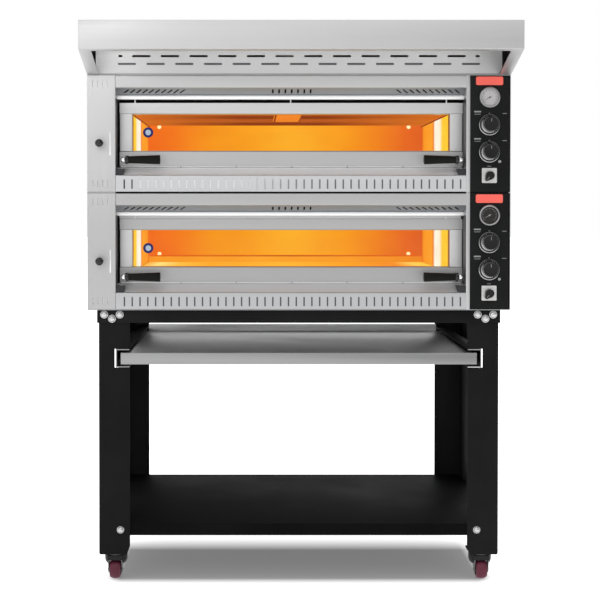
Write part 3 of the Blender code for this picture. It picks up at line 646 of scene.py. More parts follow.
def dress_hood():
    keep("hood_shell", HOOD_STEEL, 1.4)
    keep("flue_collar", HOOD_STEEL, 0.5)
    low, high = limits("hood_slotted_panel")
    length, width, pitch, limit = 59, 7, 92, 580
    slots = []
    for count, height in ((13, low.z + 30.7), (12, low.z + 55.7)):
        middles = [(pitch * (n - (count - 1) / 2), length) for n in range(count)]
        if count == 12:
            middles += [(-limit + 7, 14), (limit - 7, 14)]
        for x, span in middles:
            outline = pill((x, height), span, width, pi / 2)
            slots.append(prism("y", outline, low.y - 4, high.y + 4))
    piece("hood_filter_panel", HOOD_STEEL, ROOT, box((low.x, high.x), (low.y, high.y), (low.z, high.z)),
        cuts=slots, stands_for=["hood_slotted_panel"])
    # Painted shade: a dark sheet behind the lower row of slots in the hood's filter panel.
    shade = box((-600, 600), (high.y + 1.2, high.y + 2.2), (low.z + 24, low.z + 37))
    piece("hood_filter_backing", SHADE_STEEL, ROOT, shade, slot="hood_steel")
    shell = limits("hood_shell")
    strip = box((OVEN_LEFT + 1, OVEN_RIGHT - 1), (low.y - 1.2, low.y - 0.2), (low.z - 3.8, low.z + 0.6))
    piece("hood_seam", SEAM_STEEL, ROOT, strip, slot="hood_steel", bevel=0.4)
    heads = []
    for x, sign in ((shell[0].x, -1), (shell[1].x, 1)):
        for y in spread(shell[0].y + 60, shell[1].y - 60, 7):
            heads.append(screw_head(x, y, shell[1].z - 14, sign, "x"))
    for x in spread(shell[0].x + 50, shell[1].x - 50, 8):
        heads.append(screw_head(x, shell[1].y, shell[1].z - 14, 1))
    piece("hood_screws", BOLT, ROOT, *heads)


def bolt(name, x, y, z, facing=-1, radius=12.5):
    """A domed bolt on its washer, facing the front or the rear."""
    washer = 1.6
    profile = [(0, 0), (radius, 0), (radius, 1.2), (radius * 0.86, washer)]
    profile += [(r, washer + height) for r, height in domed(radius * 0.82, radius * 0.55, 8)[2:]]
    return piece(name, BOLT, ROOT, turned(profile, 28, placed(x, y, z, -90 * facing, "X")))


def dress_stand():
    for node in ("stand_front_beam", "stand_rear_beam", "stand_left_beam", "stand_right_beam"):
        keep(node, POWDER, 1.2)
    for node in ("left_tray_rail", "right_tray_rail"):
        keep(node, POWDER, 0.5)
        low, high = limits(node)
        sign = 1 if node == "left_tray_rail" else -1
        inner, outer = (high.x, low.x) if sign > 0 else (low.x, high.x)
        mouth = [(inner, low.z), (outer, low.z), (outer, high.z), (inner, high.z), (inner, high.z - 3.2),
            (outer + sign * 3.2, high.z - 3.2), (outer + sign * 3.2, low.z + 3.2), (inner, low.z + 3.2)]
        piece(f"{node}_mouth", RAIL_STEEL, ROOT, prism("y", mouth, low.y - 1.4, low.y - 0.2), bevel=0.3)
    keep("lower_shelf", SHELF, 1.6)
    shelf_z = (limits("lower_shelf")[0].z + limits("lower_shelf")[1].z) / 2
    keep("sliding_tray", TRAY_STEEL, 1)
    top = limits("stand_front_beam")[1].z
    for end, face, facing in (("front", STAND_FRONT, -1), ("rear", STAND_REAR, 1)):
        for side, sign in (("left", -1), ("right", 1)):
            leg = f"{end}_{side}_leg"
            keep(leg, POWDER, 1.2)
            low, high = limits(leg)
            outer = low.x if sign < 0 else high.x
            inner = high.x if sign < 0 else low.x
            middle = outer - sign * 43
            for n, (dx, dz) in enumerate(((-25, -15.5), (25, -15.5), (0, -29))):
                bolt(f"{leg}_bolt_{n + 1}", middle + dx, face, top + dz, facing)
            leg_face = low.y if facing < 0 else high.y
            bolt(f"{leg}_shelf_bolt", inner + sign * 31, leg_face, shelf_z, facing, 11.5)


def mirrored(profile):
    """A wheel's profile, from the outer half of it."""
    return profile + [(radius, -height) for radius, height in reversed(profile)]


def dress_castors():
    for place in ("front_left", "front_right", "rear_left", "rear_right"):
        keep(f"{place}_castor_fork", ZINC, 0.8)
        low, high = limits(f"{place}_castor_wheel")
        centre = (low + high) / 2
        r, w = (high.z - low.z) / 2, (high.x - low.x) / 2
        axle = placed(*centre, 90, "Y")
        side_profile = [(20.5, w), (21.5, w - 0.8), (r - 6, w - 0.8)]
        crown = [(r - 4, w - 1.8), (r - 2.2, w - 5.2), (r - 0.6, w * 0.42), (r, w * 0.15)]
        outline = mirrored(side_profile + crown)
        piece(f"{place}_tyre", TYRE, f"{place}_wheel", turned(outline, 48, axle, True),
            stands_for=[f"{place}_castor_wheel"])
        hub = [(4.6, w), (9, w), (10, w - 2), (17.5, w - 4)]
        hub = mirrored(hub + [(18.5, w - 0.5), (20.3, w - 0.5)])
        piece(f"{place}_hub", HUB, f"{place}_wheel", turned(hub, 40, axle, True))
        low, high = limits(f"{place}_castor_fork")
        swivel = Matrix.Translation(((low.x + high.x) / 2, high.y - 36, 0))
        head, axis = high.z - 5.2, high.y - 36
        dome = [(0, head), (34, head), (36.6, head - 1.4), (37.2, head - 5), (37.2, head - 18),
            (35, head - 26.5), (30, head - 32.5), (25, head - 34.5), (0, head - 34.5)]
        front = box(about(centre.x, 24), (axis - 41.4, axis - 25), (62.5, head - 0.5))
        tunnel = box(about(centre.x, 23.6), about(axis, 60), (30, 62.4))
        piece(f"{place}_castor_cover", CASTOR_BLACK, f"{place}_castor", turned(dome, 40, swivel),
            joins=[front], cuts=[tunnel])


# Decks.


def at(back):
    """The Y of a point that far back from the decks' front plane."""
    return FRONT + back


def spread(first, last, count):
    return [first + (last - first) * n / (count - 1) for n in range(count)]


def dress_casing(deck, z):
    keep(f"{deck}_casing", STEEL_SIDE, 1)
    keep(f"{deck}_rear_cover", STEEL_SIDE, 0.6)
    low, high = limits(f"{deck}_rear_cover")
    louvres = []
    for n in range(8):
        top = z + 250 - 22 * n
        for x in spread(low.x + 170, high.x - 330, 2):
            wedge = [(high.y - 0.5, top), (high.y + 4.5, top - 11), (high.y - 0.5, top - 12.5)]
            louvres.append(prism("x", wedge, x, x + 160))
        face = OVEN_RIGHT - 0.5
        wedge = [(face, top + 20), (face + 4.5, top + 9), (face, top + 7.5)]
        louvres.append(prism("y", wedge, FRONT + 110, FRONT + 230))
    piece(f"{deck}_louvres", STEEL_SIDE, ROOT, *louvres, bevel=0.8)
    rows = (low.z + 12, high.z - 12)
    heads = [screw_head(x, high.y, row, 1) for x in spread(low.x + 20, high.x - 20, 7) for row in rows]
    piece(f"{deck}_rear_screws", BOLT, ROOT, *heads)
    nut = [(0, 0), (15, 0), (15, 6), (12, 6.5), (12, 16), (9.5, 18.5), (5.5, 18.5), (5.5, 10), (0, 10)]
    back_of = placed(high.x - 70, high.y, z + 75, -90, "X")
    piece(f"{deck}_cable_gland", PLASTIC, ROOT, turned(nut, 24, back_of))
    heads = []
    side_low, side_high = limits(f"{deck}_casing")
    for x, sign in ((OVEN_LEFT, -1), (OVEN_RIGHT, 1)):
        for y in spread(side_low.y + 30, side_high.y - 30, 5):
            for height in (z + 14, z + DECK_H - 14):
                heads.append(screw_head(x, y, height, sign, "x"))
    piece(f"{deck}_side_screws", BOLT, ROOT, *heads)


def screw_head(x, y, z, sign, axis="y", radius=4.2):
    """A low domed screw head on a face that points along X or Y."""
    spin = (-90 * sign, "X") if axis == "y" else (90 * sign, "Y")
    return turned(domed(radius, radius * 0.45, 6), 16, placed(x, y, z, *spin))


def dress_fascias(deck, z):
    low, high = limits(f"{deck}_top_fascia")
    top = high.z
    over = rounded([(at(6), top - 39.8), (at(0), top - 37.2), (at(0), top), (at(18), top)], 2.6)
    slope = [(at(50), top - 59.2), (at(6.4), top - 40)]
    slots = []
    lean = atan2(22, 28)
    left, middle = (low.x + 32, low.x + 213, 10, 1), (low.x + 505, low.x + 627, 7, 0)
    for first, last, count, tilt in (left, middle, (high.x - 213, high.x - 25, 10, -1)):
        for x in spread(first, last, count):
            outline = pill((x, at(26)), 31 if tilt else 27, 5.8, -tilt * lean)
            slots.append(prism("z", outline, top - 70, top - 28))
    piece(f"{deck}_fascia_over_door", FASCIA_STEEL, ROOT, prism("x", folded(over, SHEET), low.x, high.x),
        stands_for=[f"{deck}_top_fascia"])
    piece(f"{deck}_fascia_vent_slope", SHADED_SLOPE_STEEL, ROOT, prism("x", folded(slope, SHEET), low.x, high.x),
        cuts=slots)
    # Painted highlight: the rolled lip is made in the bright highlight steel.
    lip = [(60, -72.4), (48, -72.4), (45.2, -71.4), (44, -69), (43.6, -65.5), (44, -62), (45.4, -59.6),
        (49, -58.6)]
    path = [(at(back), top + height) for back, height in lip]
    piece(f"{deck}_fascia_lip", HIGHLIGHT_STEEL, ROOT, prism("x", folded(path, SHEET), low.x, high.x))
    # Painted shade: a black sheet fills the hollow behind the fascia, over the door, where shade falls.
    behind = [(at(60), top - 61), (at(60), top - 10), (at(8), top - 10), (at(8), top - 33),
        (at(52), top - 53)]
    piece(f"{deck}_fascia_baffle", SHADOW, ROOT, prism("x", behind, low.x + 4, high.x - 4))
    tabs = [box(about(x, 2), (at(60), at(64)), (z + 292, z + 303.5))
        for x in (low.x + 56.7, low.x + 563.7, high.x - 54.7)]
    piece(f"{deck}_fascia_tabs", STEEL_UP, ROOT, *tabs, bevel=0.4)

    # Painted light: only the lower deck gets a light strip across the gap over its door, standing for the
    # door's lit top edge.
    if deck == "lower":
        strip = box((low.x + 5, high.x - 5), (at(64.5), at(65.7)), (z + 292.5, z + 303.5))
        piece(f"{deck}_gap_strip", LIT_STRIP_STEEL, f"{deck}_door", strip, bevel=0.3)

    low, high = limits(f"{deck}_bottom_fascia")
    base = low.z
    under = rounded([(at(18), base), (at(0), base), (at(0), base + 52), (at(6), base + 54.8)], 3)
    sill = rounded([(at(6.4), base + 55), (at(58), base + 79.2), (at(94), base + 79.2)], 3)
    vents = [prism("y", pill((x, base + 24.7), 31, 4.8), at(-4), at(6))
        for x in spread(low.x + 27.7, high.x - 17.7, 44)]
    piece(f"{deck}_fascia_under_door", VENT_STEEL, ROOT, prism("x", folded(under, SHEET), low.x, high.x),
        cuts=vents, stands_for=[f"{deck}_bottom_fascia"])
    piece(f"{deck}_sill", LIT_SILL_STEEL, ROOT, prism("x", folded(sill, SHEET), low.x, high.x))
    # Painted light and shade: the upper deck's vents are backed by a sheet painted near white on the left,
    # the lower deck's by dark shade steel.
    piece(f"{deck}_vent_backing", PAINTED_VENT_BACK if deck == "upper" else SHADE_STEEL, ROOT,
        box((low.x + 4, high.x - 4), (at(2.6), at(4)), (base + 3, base + 48)))
    # Painted shade: the blocks at both ends of the sill are near-black steel.
    for side, inner, sign in (("left", low.x, 1), ("right", high.x, -1)):
        span = sorted((inner + sign * 0.4, inner + sign * 26.5))
        outline = [(at(3), base + 55), (at(3), base + 74.2), (at(46), base + 74.2)]
        piece(f"{deck}_{side}_corner_block", SHADED_CORNER, ROOT, prism("x", outline, *span), bevel=1.2)


def dress_seams():
    """Strips that close the joint between the two decks."""
    low = limits("lower_left_panel")[1].z + 0.3
    high = limits("upper_left_panel")[0].z - 0.3
    for side, above, finish in (("middle", "lower_top_fascia", SHADOW),
        ("left", "lower_left_panel", SEAM_STEEL), ("right", "lower_control_panel", SHADOW)):
        x = [corner.x for corner in limits(above)]
        strip = box(x, (at(0.8), at(2)), (low, high))
        piece(f"deck_seam_{side}", finish, ROOT, strip, bevel=0.3)


def dress_columns(deck, z):
    low, high = limits(f"{deck}_left_panel")
    path = rounded([(high.x, at(120)), (high.x, at(0)), (low.x, at(0))], 2.5)
    vents = []
    for middle in (z + 29.5, z + 348.5):
        for x in spread(low.x + 20, low.x + 67, 4):
            vents.append(prism("y", pill((x, middle), 21, 4.5), at(-4), at(6)))
    knob_low, knob_high = limits(f"{deck}_damper_knob")
    knob = (knob_low + knob_high) / 2
    hole = [(0, -6), (5.2, -6), (5.2, 6), (0, 6)]
    vents.append(turned(hole, 20, facing_front(knob.x, FRONT, knob.z)))
    piece(f"{deck}_column", COLUMN_STEEL, ROOT, prism("z", folded(path, SHEET), low.z, high.z), cuts=vents,
        stands_for=[f"{deck}_left_panel"])
    piece(f"{deck}_column_backing", STEEL_UP, ROOT,
        box((low.x + 8, high.x - 4), (at(3), at(4)), (low.z + 4, z + 130)),
        box((low.x + 8, high.x - 4), (at(3), at(4)), (z + 190, high.z - 4)))
    # Painted highlight: the bead is made in the bright highlight steel, to show as a bright streak.
    bead = [Vector((high.x - 17, at(-0.2), z + height)) for height in (119, 122, 192, 195)]
    piece(f"{deck}_column_bead", HIGHLIGHT_STEEL, ROOT, tube(bead, [0.6, 2.4, 2.4, 0.6], 12))
    # Painted shade: dark sheets line the gaps at both sides of the door.
    piece(f"{deck}_column_return", SHADE_STEEL, ROOT,
        box((high.x + 0.2, high.x + 0.8), (at(4), at(118)), (low.z + 80, high.z - 70)))
    low, high = limits(f"{deck}_casing")
    inner = limits(f"{deck}_bottom_fascia")[1].x + 0.3
    piece(f"{deck}_bulkhead_return", SHADE_STEEL, ROOT,
        box((inner - 0.8, inner - 0.2), (at(4), at(118)), (z + 83, z + DECK_H - 73)))

    rod = [(0, -60), (4, -60), (4, 14), (6.2, 15), (6.2, 16.5)]
    for n in range(2, 16):
        angle = pi * n / 16
        rod.append((13 * sin(angle), 28 - 13 * cos(angle)))
    rod.append((0, 41))
    piece(f"{deck}_damper_ball", BALL, f"{deck}_damper",
        turned(rod, 36, facing_front(knob.x, FRONT, knob.z)), stands_for=[f"{deck}_damper_knob"])


def dress_door(deck, z):
    body = f"{deck}_door"
    low, high = limits(f"{deck}_door_frame")
    glass_low, glass_high = limits(f"{deck}_door_glass")
    clear = 0.3
    win_x = (glass_low.x - clear, glass_high.x + clear)
    win_z = (glass_low.z - clear, glass_high.z + clear)
    face, rear = low.y, high.y
    seam = 0.25
    under = rounded([(rear - 4, low.z), (face + 0.5, low.z), (face, win_z[0] - clear),
            (face + 12, win_z[0] - clear)], 4.5)
    marks = [box(about(x, 3), (face - 4, face + 3), (low.z - 2, low.z + 3))
        for x in spread(low.x + 199, low.x + 923, 5)]
    ends = [low.x + 2] + spread(low.x + 199, low.x + 923, 5) + [high.x - 2]
    # Painted highlight: the hem along the door's bottom edge is made in the bright highlight steel.
    hem_y, hem_z = face - 1.2, low.z + 0.6
    hem = []
    for a, b in zip(ends, ends[1:]):
        hem.append(tube([Vector((a + 2, hem_y, hem_z)), Vector((b - 2, hem_y, hem_z))], 1.7, 12))
    piece(f"{deck}_door_hem", HIGHLIGHT_STEEL, body, *hem)
    piece(f"{deck}_door_bottom_rail", LOW_STEEL, body, prism("x", folded(under, SHEET), low.x, high.x),
        cuts=marks, stands_for=[f"{deck}_door_frame"])
    over = rounded([(face + 12, win_z[1] + clear), (face, win_z[1] + clear), (face, high.z),
            (rear - 4, high.z)], 2.2)
    piece(f"{deck}_door_top_rail", STEEL, body, prism("x", folded(over, SHEET), low.x, high.x))
    for side, outer, inner in (("left", low.x, win_x[0]), ("right", high.x, win_x[1])):
        sign = 1 if side == "left" else -1
        path = [(outer, rear - 4), (outer, face), (inner, face), (inner, face + 12)]
        if side == "left":
            path = path[::-1]
        piece(f"{deck}_door_{side}_stile", STEEL_UP, body,
            prism("z", folded(rounded(path, 2.2), SHEET), win_z[0] + seam, win_z[1] - seam))
    skin = box((low.x + 2, high.x - 2), (rear - 2.2, rear), (low.z + 2, high.z - 2))
    opening = box(inset(win_x, 1), about(rear, 10), inset(win_z, 1))
    piece(f"{deck}_door_inner_skin", INNER, body, skin, cuts=[opening], bevel=0.8)
    tunnel = box(win_x, (face + 8, rear - 2.3), win_z)
    bore = box(inset(win_x, 1.1), (face, rear + 4), inset(win_z, 1.1))
    piece(f"{deck}_door_window_liner", INNER, body, tunnel, cuts=[bore])
    pane = box(inset(win_x, 1.3), (glass_low.y, glass_high.y), inset(win_z, 1.3))
    piece(f"{deck}_door_pane", GLASS, body, pane, bevel=0.6, stands_for=[f"{deck}_door_glass"])
    screws = [screw_head(x, rear, height, 1) for x in spread(low.x + 20, high.x - 20, 6)
        for height in (low.z + 20, high.z - 15)]
    piece(f"{deck}_door_screws", BOLT, body, *screws)
    pins = []
    for x, sign, length in ((low.x - 0.1, -1, 5.6), (high.x + 0.1, 1, 0.9)):
        pin = [(0, 0), (6.5, 0), (6.5, length), (0, length)]
        pins.append(turned(pin, 24, placed(x, at(90), z + 276, 90 * sign, "Y")))
    piece(f"{deck}_door_pivots", SHADOW, body, *pins)

    centre = Vector((low.x + 92, glass_low.y, z + 197))
    ring = []
    for n in range(12):
        angle = 2 * pi * n / 12
        ring.append((13 + 3.8 * cos(angle), 1.2 + 1.2 * sin(angle)))
    piece(f"{deck}_glass_ring", BLUE, body, turned(ring, 40, facing_front(*centre), True))
    disc = [(0, 0.1), (9.4, 0.1), (9.4, 0.6), (0, 1)]
    piece(f"{deck}_glass_disc", PALE_BLUE, body, turned(disc, 32, facing_front(*centre)))

    dress_grip(deck, "left", -1)
    dress_grip(deck, "right", 1)


def dress_grip(deck, side, sign):
    """The grip at one end of a door's handle, on its post."""
    body, face = f"{deck}_door", limits(f"{deck}_door_frame")[0].y
    name = f"{deck}_{side}"
    grip_low, grip_high = limits(f"{name}_handle")
    outer = grip_low.x if sign < 0 else grip_high.x
    axis_y, axis_z = grip_low.y + 15, (grip_low.z + grip_high.z) / 2
    place = placed(outer, axis_y, axis_z, -90 * sign, "Y")
    grip = [(0, 12), (9.2, 12), (10.8, 12.8), (11.4, 14.5), (11.8, 30), (13.8, 90), (14.7, 112),
        (15, 121.5), (14.6, 123), (13.2, 123.8), (0, 124)]
    piece(f"{name}_grip", GRIP, body, turned(grip, 40, place), stands_for=[f"{name}_handle"])
    ball = [(0, -3)]
    for n in range(1, 12):
        angle = pi * n / 14
        ball.append((9.2 * sin(angle), 6.2 - 9.2 * cos(angle)))
    ball += [(5, 15), (0, 15)]
    piece(f"{name}_grip_end", CHROME, body, turned(ball, 28, place))
    stem_x = outer - sign * 12
    stem = [(0, 0), (11, 0), (11, 3.5), (9.8, 5), (6.8, 6)]
    reach = face - axis_y - 4
    stem += [(6.2, reach), (0, reach)]
    piece(f"{name}_grip_post", GLOSS, body, turned(stem, 28, facing_front(stem_x, face, axis_z)))
    collar = [(8.5, 13), (13.2, 13), (14, 15), (14, 20.5), (13, 22.5), (8.5, 22.5)]
    piece(f"{name}_grip_collar", GLOSS, body, turned(collar, 36, place, True))


def ticks(centre, radius, length, width, height, count, start, end, lift):
    """Short bars in an arc, facing the front; start and end are degrees clockwise from the top."""
    bars = []
    for n in range(count):
        angle = radians(start + (end - start) * n / (count - 1))
        out = Vector((sin(angle), cos(angle)))
        across = Vector((out.y, -out.x))
        outline = []
        for a, b in ((-1, 0), (1, 0), (1, 1), (-1, 1)):
            p = Vector((centre.x, centre.z)) + out * (radius + b * length) + across * (a * width / 2)
            outline.append(tuple(p))
        bars.append(prism("y", outline, centre.y - lift - height, centre.y - lift))
    return bars


def crescent(centre, radius, span, thick, height):
    """A painted highlight round the lower left of a knob: a bright bar that tapers away to nothing at both
    ends.
    """
    path, widths = [], []
    for n in range(33):
        angle = radians(span[0] + (span[1] - span[0]) * n / 32)
        path.append(centre + Vector((radius * cos(angle), -height, radius * sin(angle))))
        widths.append(0.2 + (thick - 0.2) * sin(pi * n / 32))
    return tube(path, widths, 12)


def dress_knob(deck, role):
    """One heat knob, with the marks printed on the panel round it."""
    low, high = limits(f"{deck}_control_panel")
    face = low.y
    name = f"{deck}_{role}"
    body = f"{name}_heat_knob"
    knob_low, knob_high = limits(body)
    centre = Vector(((knob_low.x + knob_high.x) / 2, face, (knob_low.z + knob_high.z) / 2))
    place = facing_front(*centre)
    skirt = [(0, 0.3), (32.5, 0.3), (33, 1.2), (32.2, 5), (30, 6.6), (24.5, 8.2), (24, 8.6), (0, 8.6)]
    piece(f"{name}_knob_skirt", PLASTIC, body, turned(skirt, 56, place), stands_for=[body])
    rim = [(32.2, 1), (33.8, 1.2), (34, 2.2), (33.4, 4.6), (31.8, 5.6), (31.2, 5)]
    piece(f"{name}_knob_rim", ZINC, body, turned(rim, 64, place, True))
    # Painted highlight: bright bars round the lower left of the skirt and the cap stand for the light they
    # catch.
    shine = [crescent(centre, 32.8, (150, 345), 1.9, 4.2), crescent(centre, 25, (140, 305), 2.4, 9.5)]
    piece(f"{name}_knob_highlight_bar", KNOB_HIGHLIGHT, body, *shine)
    sleeve = [(20, 8), (23.8, 8.4), (23.6, 10), (22.6, 24), (20.5, 25)]
    piece(f"{name}_knob_sleeve", SATIN_DARK, body, turned(sleeve, 48, place, True))
    cap = [(0, 20), (22.2, 20), (22, 35), (21.2, 36.8), (19.6, 37.8), (15, 37.4), (0, 37.2)]
    flutes = []
    for n in range(20):
        angle = 2 * pi * (n + 0.5) / 20
        x, up = centre.x + 23.2 * cos(angle), centre.z + 23.2 * sin(angle)
        flutes.append(turned([(0, 25), (1.9, 25), (1.9, 42), (0, 42)], 10, facing_front(x, face, up)))
    piece(f"{name}_knob_cap", PLASTIC, body, turned(cap, 80, place), cuts=flutes)
    scale = ticks(centre, 25.8, 3.6, 0.9, 0.6, 22, 20, 340, 7.2)
    piece(f"{name}_knob_scale", PALE_INK, body, *scale)
    pointer = box(about(centre.x, 0.7), (face - 38.1, face - 37.2), (centre.z + 8, centre.z + 19))
    piece(f"{name}_knob_pointer", PALE_INK, body, pointer)
    ink_y = (face - 0.2, face - 0.02)
    ink = [box((low.x + 12.5, low.x + 34.5), ink_y, (centre.z + 39.5, centre.z + 44)),
        box((low.x + 13.5, low.x + 33.5), ink_y, (centre.z + 33, centre.z + 34.5)),
        box((high.x - 21, high.x - 7), ink_y, (centre.z + 35, centre.z + 36.6)),
        box(about(centre.x, 2.4), ink_y, (centre.z + 36.2, centre.z + 37.8))]
    piece(f"{name}_heat_marks", PALE_INK, ROOT, *ink)


def dress_controls(deck, z):
    keep(f"{deck}_control_panel", PANEL, 1)
    low, high = limits(f"{deck}_control_panel")
    face = low.y
    knob_box = limits(f"{deck}_top_heat_knob")
    centre_x = (knob_box[0].x + knob_box[1].x) / 2

    tag_low, tag_high = high.z - 30.5, high.z - 3
    tag = rounded_plate(centre_x, (tag_low + tag_high) / 2, 43.5, (tag_high - tag_low) / 2, 5)
    piece(f"{deck}_blank_tag", RED_TAG, ROOT, prism("y", tag, face - 1.6, face - 0.1), bevel=0.5)

    gauge_low, gauge_high = limits(f"{deck}_thermometer")
    gauge = Vector(((gauge_low.x + gauge_high.x) / 2, face, (gauge_low.z + gauge_high.z) / 2))
    bezel = [(26.5, 0.2), (33, 0.2), (34, 1.5), (34, 7.5), (32.5, 10), (30, 11), (28.2, 10.4), (27.6, 8.5),
        (27.2, 5)]
    place = facing_front(*gauge)
    piece(f"{deck}_gauge_bezel", SATIN_DARK, ROOT, turned(bezel, 56, place, True), slot="dial",
        stands_for=[f"{deck}_thermometer"])
    plate = [(0, 3), (27.4, 3), (27.4, 4.6), (0, 4.6)]
    dial_material = DIAL if deck == "upper" else DARK_DIAL
    mark = DARK_INK if deck == "upper" else PALE_INK
    piece(f"{deck}_gauge_dial", dial_material, ROOT, turned(plate, 48, place))
    scale = ticks(gauge, 19, 5, 1, 0.4, 11, -135, 135, 4.6)
    scale += ticks(gauge, 21.5, 2.5, 0.6, 0.4, 41, -135, 135, 4.6)
    piece(f"{deck}_gauge_scale", mark, ROOT, *scale)
    needle = []
    lean = radians(-118)
    out, across = Vector((sin(lean), cos(lean))), Vector((cos(lean), -sin(lean)))
    for along, side in ((-6, -1), (19, -0.3), (19, 0.3), (-6, 1)):
        p = Vector((gauge.x, gauge.z)) + out * along + across * side
        needle.append(tuple(p))
    hub = [(0, 4.6), (2.8, 4.6), (2.8, 6.4), (2, 7), (0, 7)]
    piece(f"{deck}_gauge_needle", mark, ROOT, prism("y", needle, gauge.y - 6, gauge.y - 5.4),
        turned(hub, 20, place))

    for role in ("top", "bottom"):
        dress_knob(deck, role)

    switch_front = limits(f"{deck}_power_switch")[0].y
    hub = Vector((centre_x, face, z + 55))
    plate = rounded_plate(hub.x, hub.z, 24, 24, 3)
    piece(f"{deck}_switch_plate", PLATE, ROOT, prism("y", plate, face - 2, face - 0.1), bevel=0.6)
    nose = Vector((-0.6, -0.8)) * 21.5
    heading = atan2(nose.y, nose.x)
    leaf = []
    tip = Vector((hub.x, hub.z)) + nose
    for n in range(25):
        angle = heading + radians(52) + radians(256) * n / 24
        leaf.append((hub.x + 13.5 * cos(angle), hub.z + 13.5 * sin(angle)))
    side = Vector((-nose.y, nose.x)).normalized() * 2.2
    leaf = [tuple(tip + side)] + leaf + [tuple(tip - side)]
    piece(f"{deck}_switch_knob", PLASTIC, f"{deck}_power_switch",
        prism("y", leaf, switch_front, face - 2.4), bevel=1.6, stands_for=[f"{deck}_power_switch"])
    ridge_tip = Vector((hub.x, hub.z)) + nose * 0.8
    ridge_start = Vector((hub.x, hub.z)) + nose * 0.3
    line_side = Vector((-nose.y, nose.x)).normalized() * 0.6
    outline = [tuple(ridge_start - line_side), tuple(ridge_tip - line_side), tuple(ridge_tip + line_side),
        tuple(ridge_start + line_side)]
    piece(f"{deck}_switch_pointer", PALE_INK, f"{deck}_power_switch",
        prism("y", outline, switch_front - 0.4, switch_front + 0.4))
    ink = box(about(hub.x, 6), (face - 0.2, face - 0.02), (hub.z + 29, hub.z + 30.6))
    piece(f"{deck}_switch_mark", PALE_INK, ROOT, ink)
    lamp = [(0, 0.1), (4.8, 0.1), (4.8, 1.2), (3.6, 1.8), (3.4, 3), (2, 4.4), (0, 4.8)]
    piece(f"{deck}_pilot_lamp", LENS, ROOT, turned(lamp, 24, facing_front(centre_x + 33, face, z + 100)))


def dress_chamber(deck, z):
    keep(f"{deck}_chamber", INNER, 0.4)
    keep(f"{deck}_baking_stone", STONE, 1.5)
    keep(f"{deck}_heating_element", ELEMENT)
    rear, side, roof = chamber_materials(deck)
    low, high = limits(f"{deck}_chamber")
    wall = 2
    stone_top = limits(f"{deck}_baking_stone")[1].z
    x = (low.x + wall, high.x - wall)
    y = (low.y, high.y - wall)
    top = high.z - wall
    thin = 0.6
    tall = (stone_top + 0.3, top - thin)
    piece(f"{deck}_rear_liner", rear, ROOT, box(inset(x, thin), (y[1] - 1.1, y[1] - 0.2), tall),
        slot="chamber_steel")
    for name, wall_x, sign in (("left", x[0], 1), ("right", x[1], -1)):
        span = sorted((wall_x + sign * 0.1, wall_x + sign * thin))
        panel = box(span, (y[0] + 0.5, y[1] - 1.3), tall)
        rib_x = (wall_x + sign * thin * 0.5, wall_x + sign * 2.4)
        rib = box(rib_x, (y[0] + 400, y[0] + 406), tall)
        piece(f"{deck}_{name}_liner", side, ROOT, panel, joins=[rib], slot="chamber_steel")
    # Covers hang level with the top of the window and hide the elements; a gap is left in their middle.
    cover = limits(f"{deck}_door_glass")[1].z + 3.8
    middle = (x[0] + x[1]) / 2 - 5
    depths = [(2, 108, 0), (110, 274, 1), (276, 448, 0)]
    covers = []
    for near, far, lift in depths:
        for span in ((x[0] + 1, middle - 47), (middle + 47, x[1] - 1)):
            covers.append(box(span, (y[0] + near, y[0] + far), (cover + lift, cover + lift + 1.2)))
    covers.append(box(inset(x, 1), (y[0] + 450, y[0] + 640), (cover + 1, cover + 2.2)))
    piece(f"{deck}_roof_liner", GAP_GLOW, ROOT,
        box(inset(x, thin), (y[0] + 0.5, y[1] - 1.3), (top - thin + 0.1, top - 0.1)))
    piece(f"{deck}_roof_covers", roof, ROOT, *covers, slot="chamber_steel")
    trims = []
    for side_x in inset(x, 4.8):
        ends = [Vector((side_x, end_y, cover - 2.4)) for end_y in inset(y, 2)]
        trims.append(tube(ends, 2.1, 12))
    piece(f"{deck}_roof_trims", ELEMENT, ROOT, *trims)
    guard = box(inset(x, 2), (y[1] - 9, y[1] - 1.3), (stone_top + 0.2, stone_top + 21.5))
    piece(f"{deck}_rear_guard", GUARD_GLOW, ROOT, guard, bevel=0.8)
    path = [Vector((side_x, y[1] - 7, stone_top + 24.5)) for side_x in inset(x, 2)]
    piece(f"{deck}_rear_stop", STOP_GLOW, ROOT, tube(path, 2.8, 12))
    dome = domed(7.5, 6, 7)
    lenses = [turned(dome, 20, facing_front(place, y[1] - 1.3, height)) for place in (x[0] + 42, x[1] - 53)
        for height in (stone_top + 31.5, top - 12)]
    piece(f"{deck}_lamp_lenses", LAMP, ROOT, *lenses)
    # Painted shade: a black plate round the chamber's mouth darkens what shows through the gaps round the
    # door.
    mouth_low = limits(f"{deck}_left_panel")[1].x + 1
    mouth_high = limits(f"{deck}_bottom_fascia")[1].x - 1
    plate = box((mouth_low, mouth_high), (at(97.5), at(99)), (z + 83.5, z + 374))
    hole = box((low.x - 0.3, high.x + 0.3), (at(90), at(110)), (low.z - 0.3, high.z + 0.3))
    swing = box((mouth_low - 1, mouth_high + 1), (at(90), at(110)), (z + 254, z + 315))
    piece(f"{deck}_mouth_plate", MOUTH_SHADE, ROOT, plate, cuts=[hole, swing])
    # Behind the door's hinge line the plate is set back, so the door's top edge can turn.
    path = [(at(116), z + 273), (at(116), z + 315.8), (at(99.5), z + 315.8)]
    piece(f"{deck}_mouth_recess", MOUTH_SHADE, ROOT, prism("x", folded(path, 0.8), mouth_low, mouth_high))


# Studio.


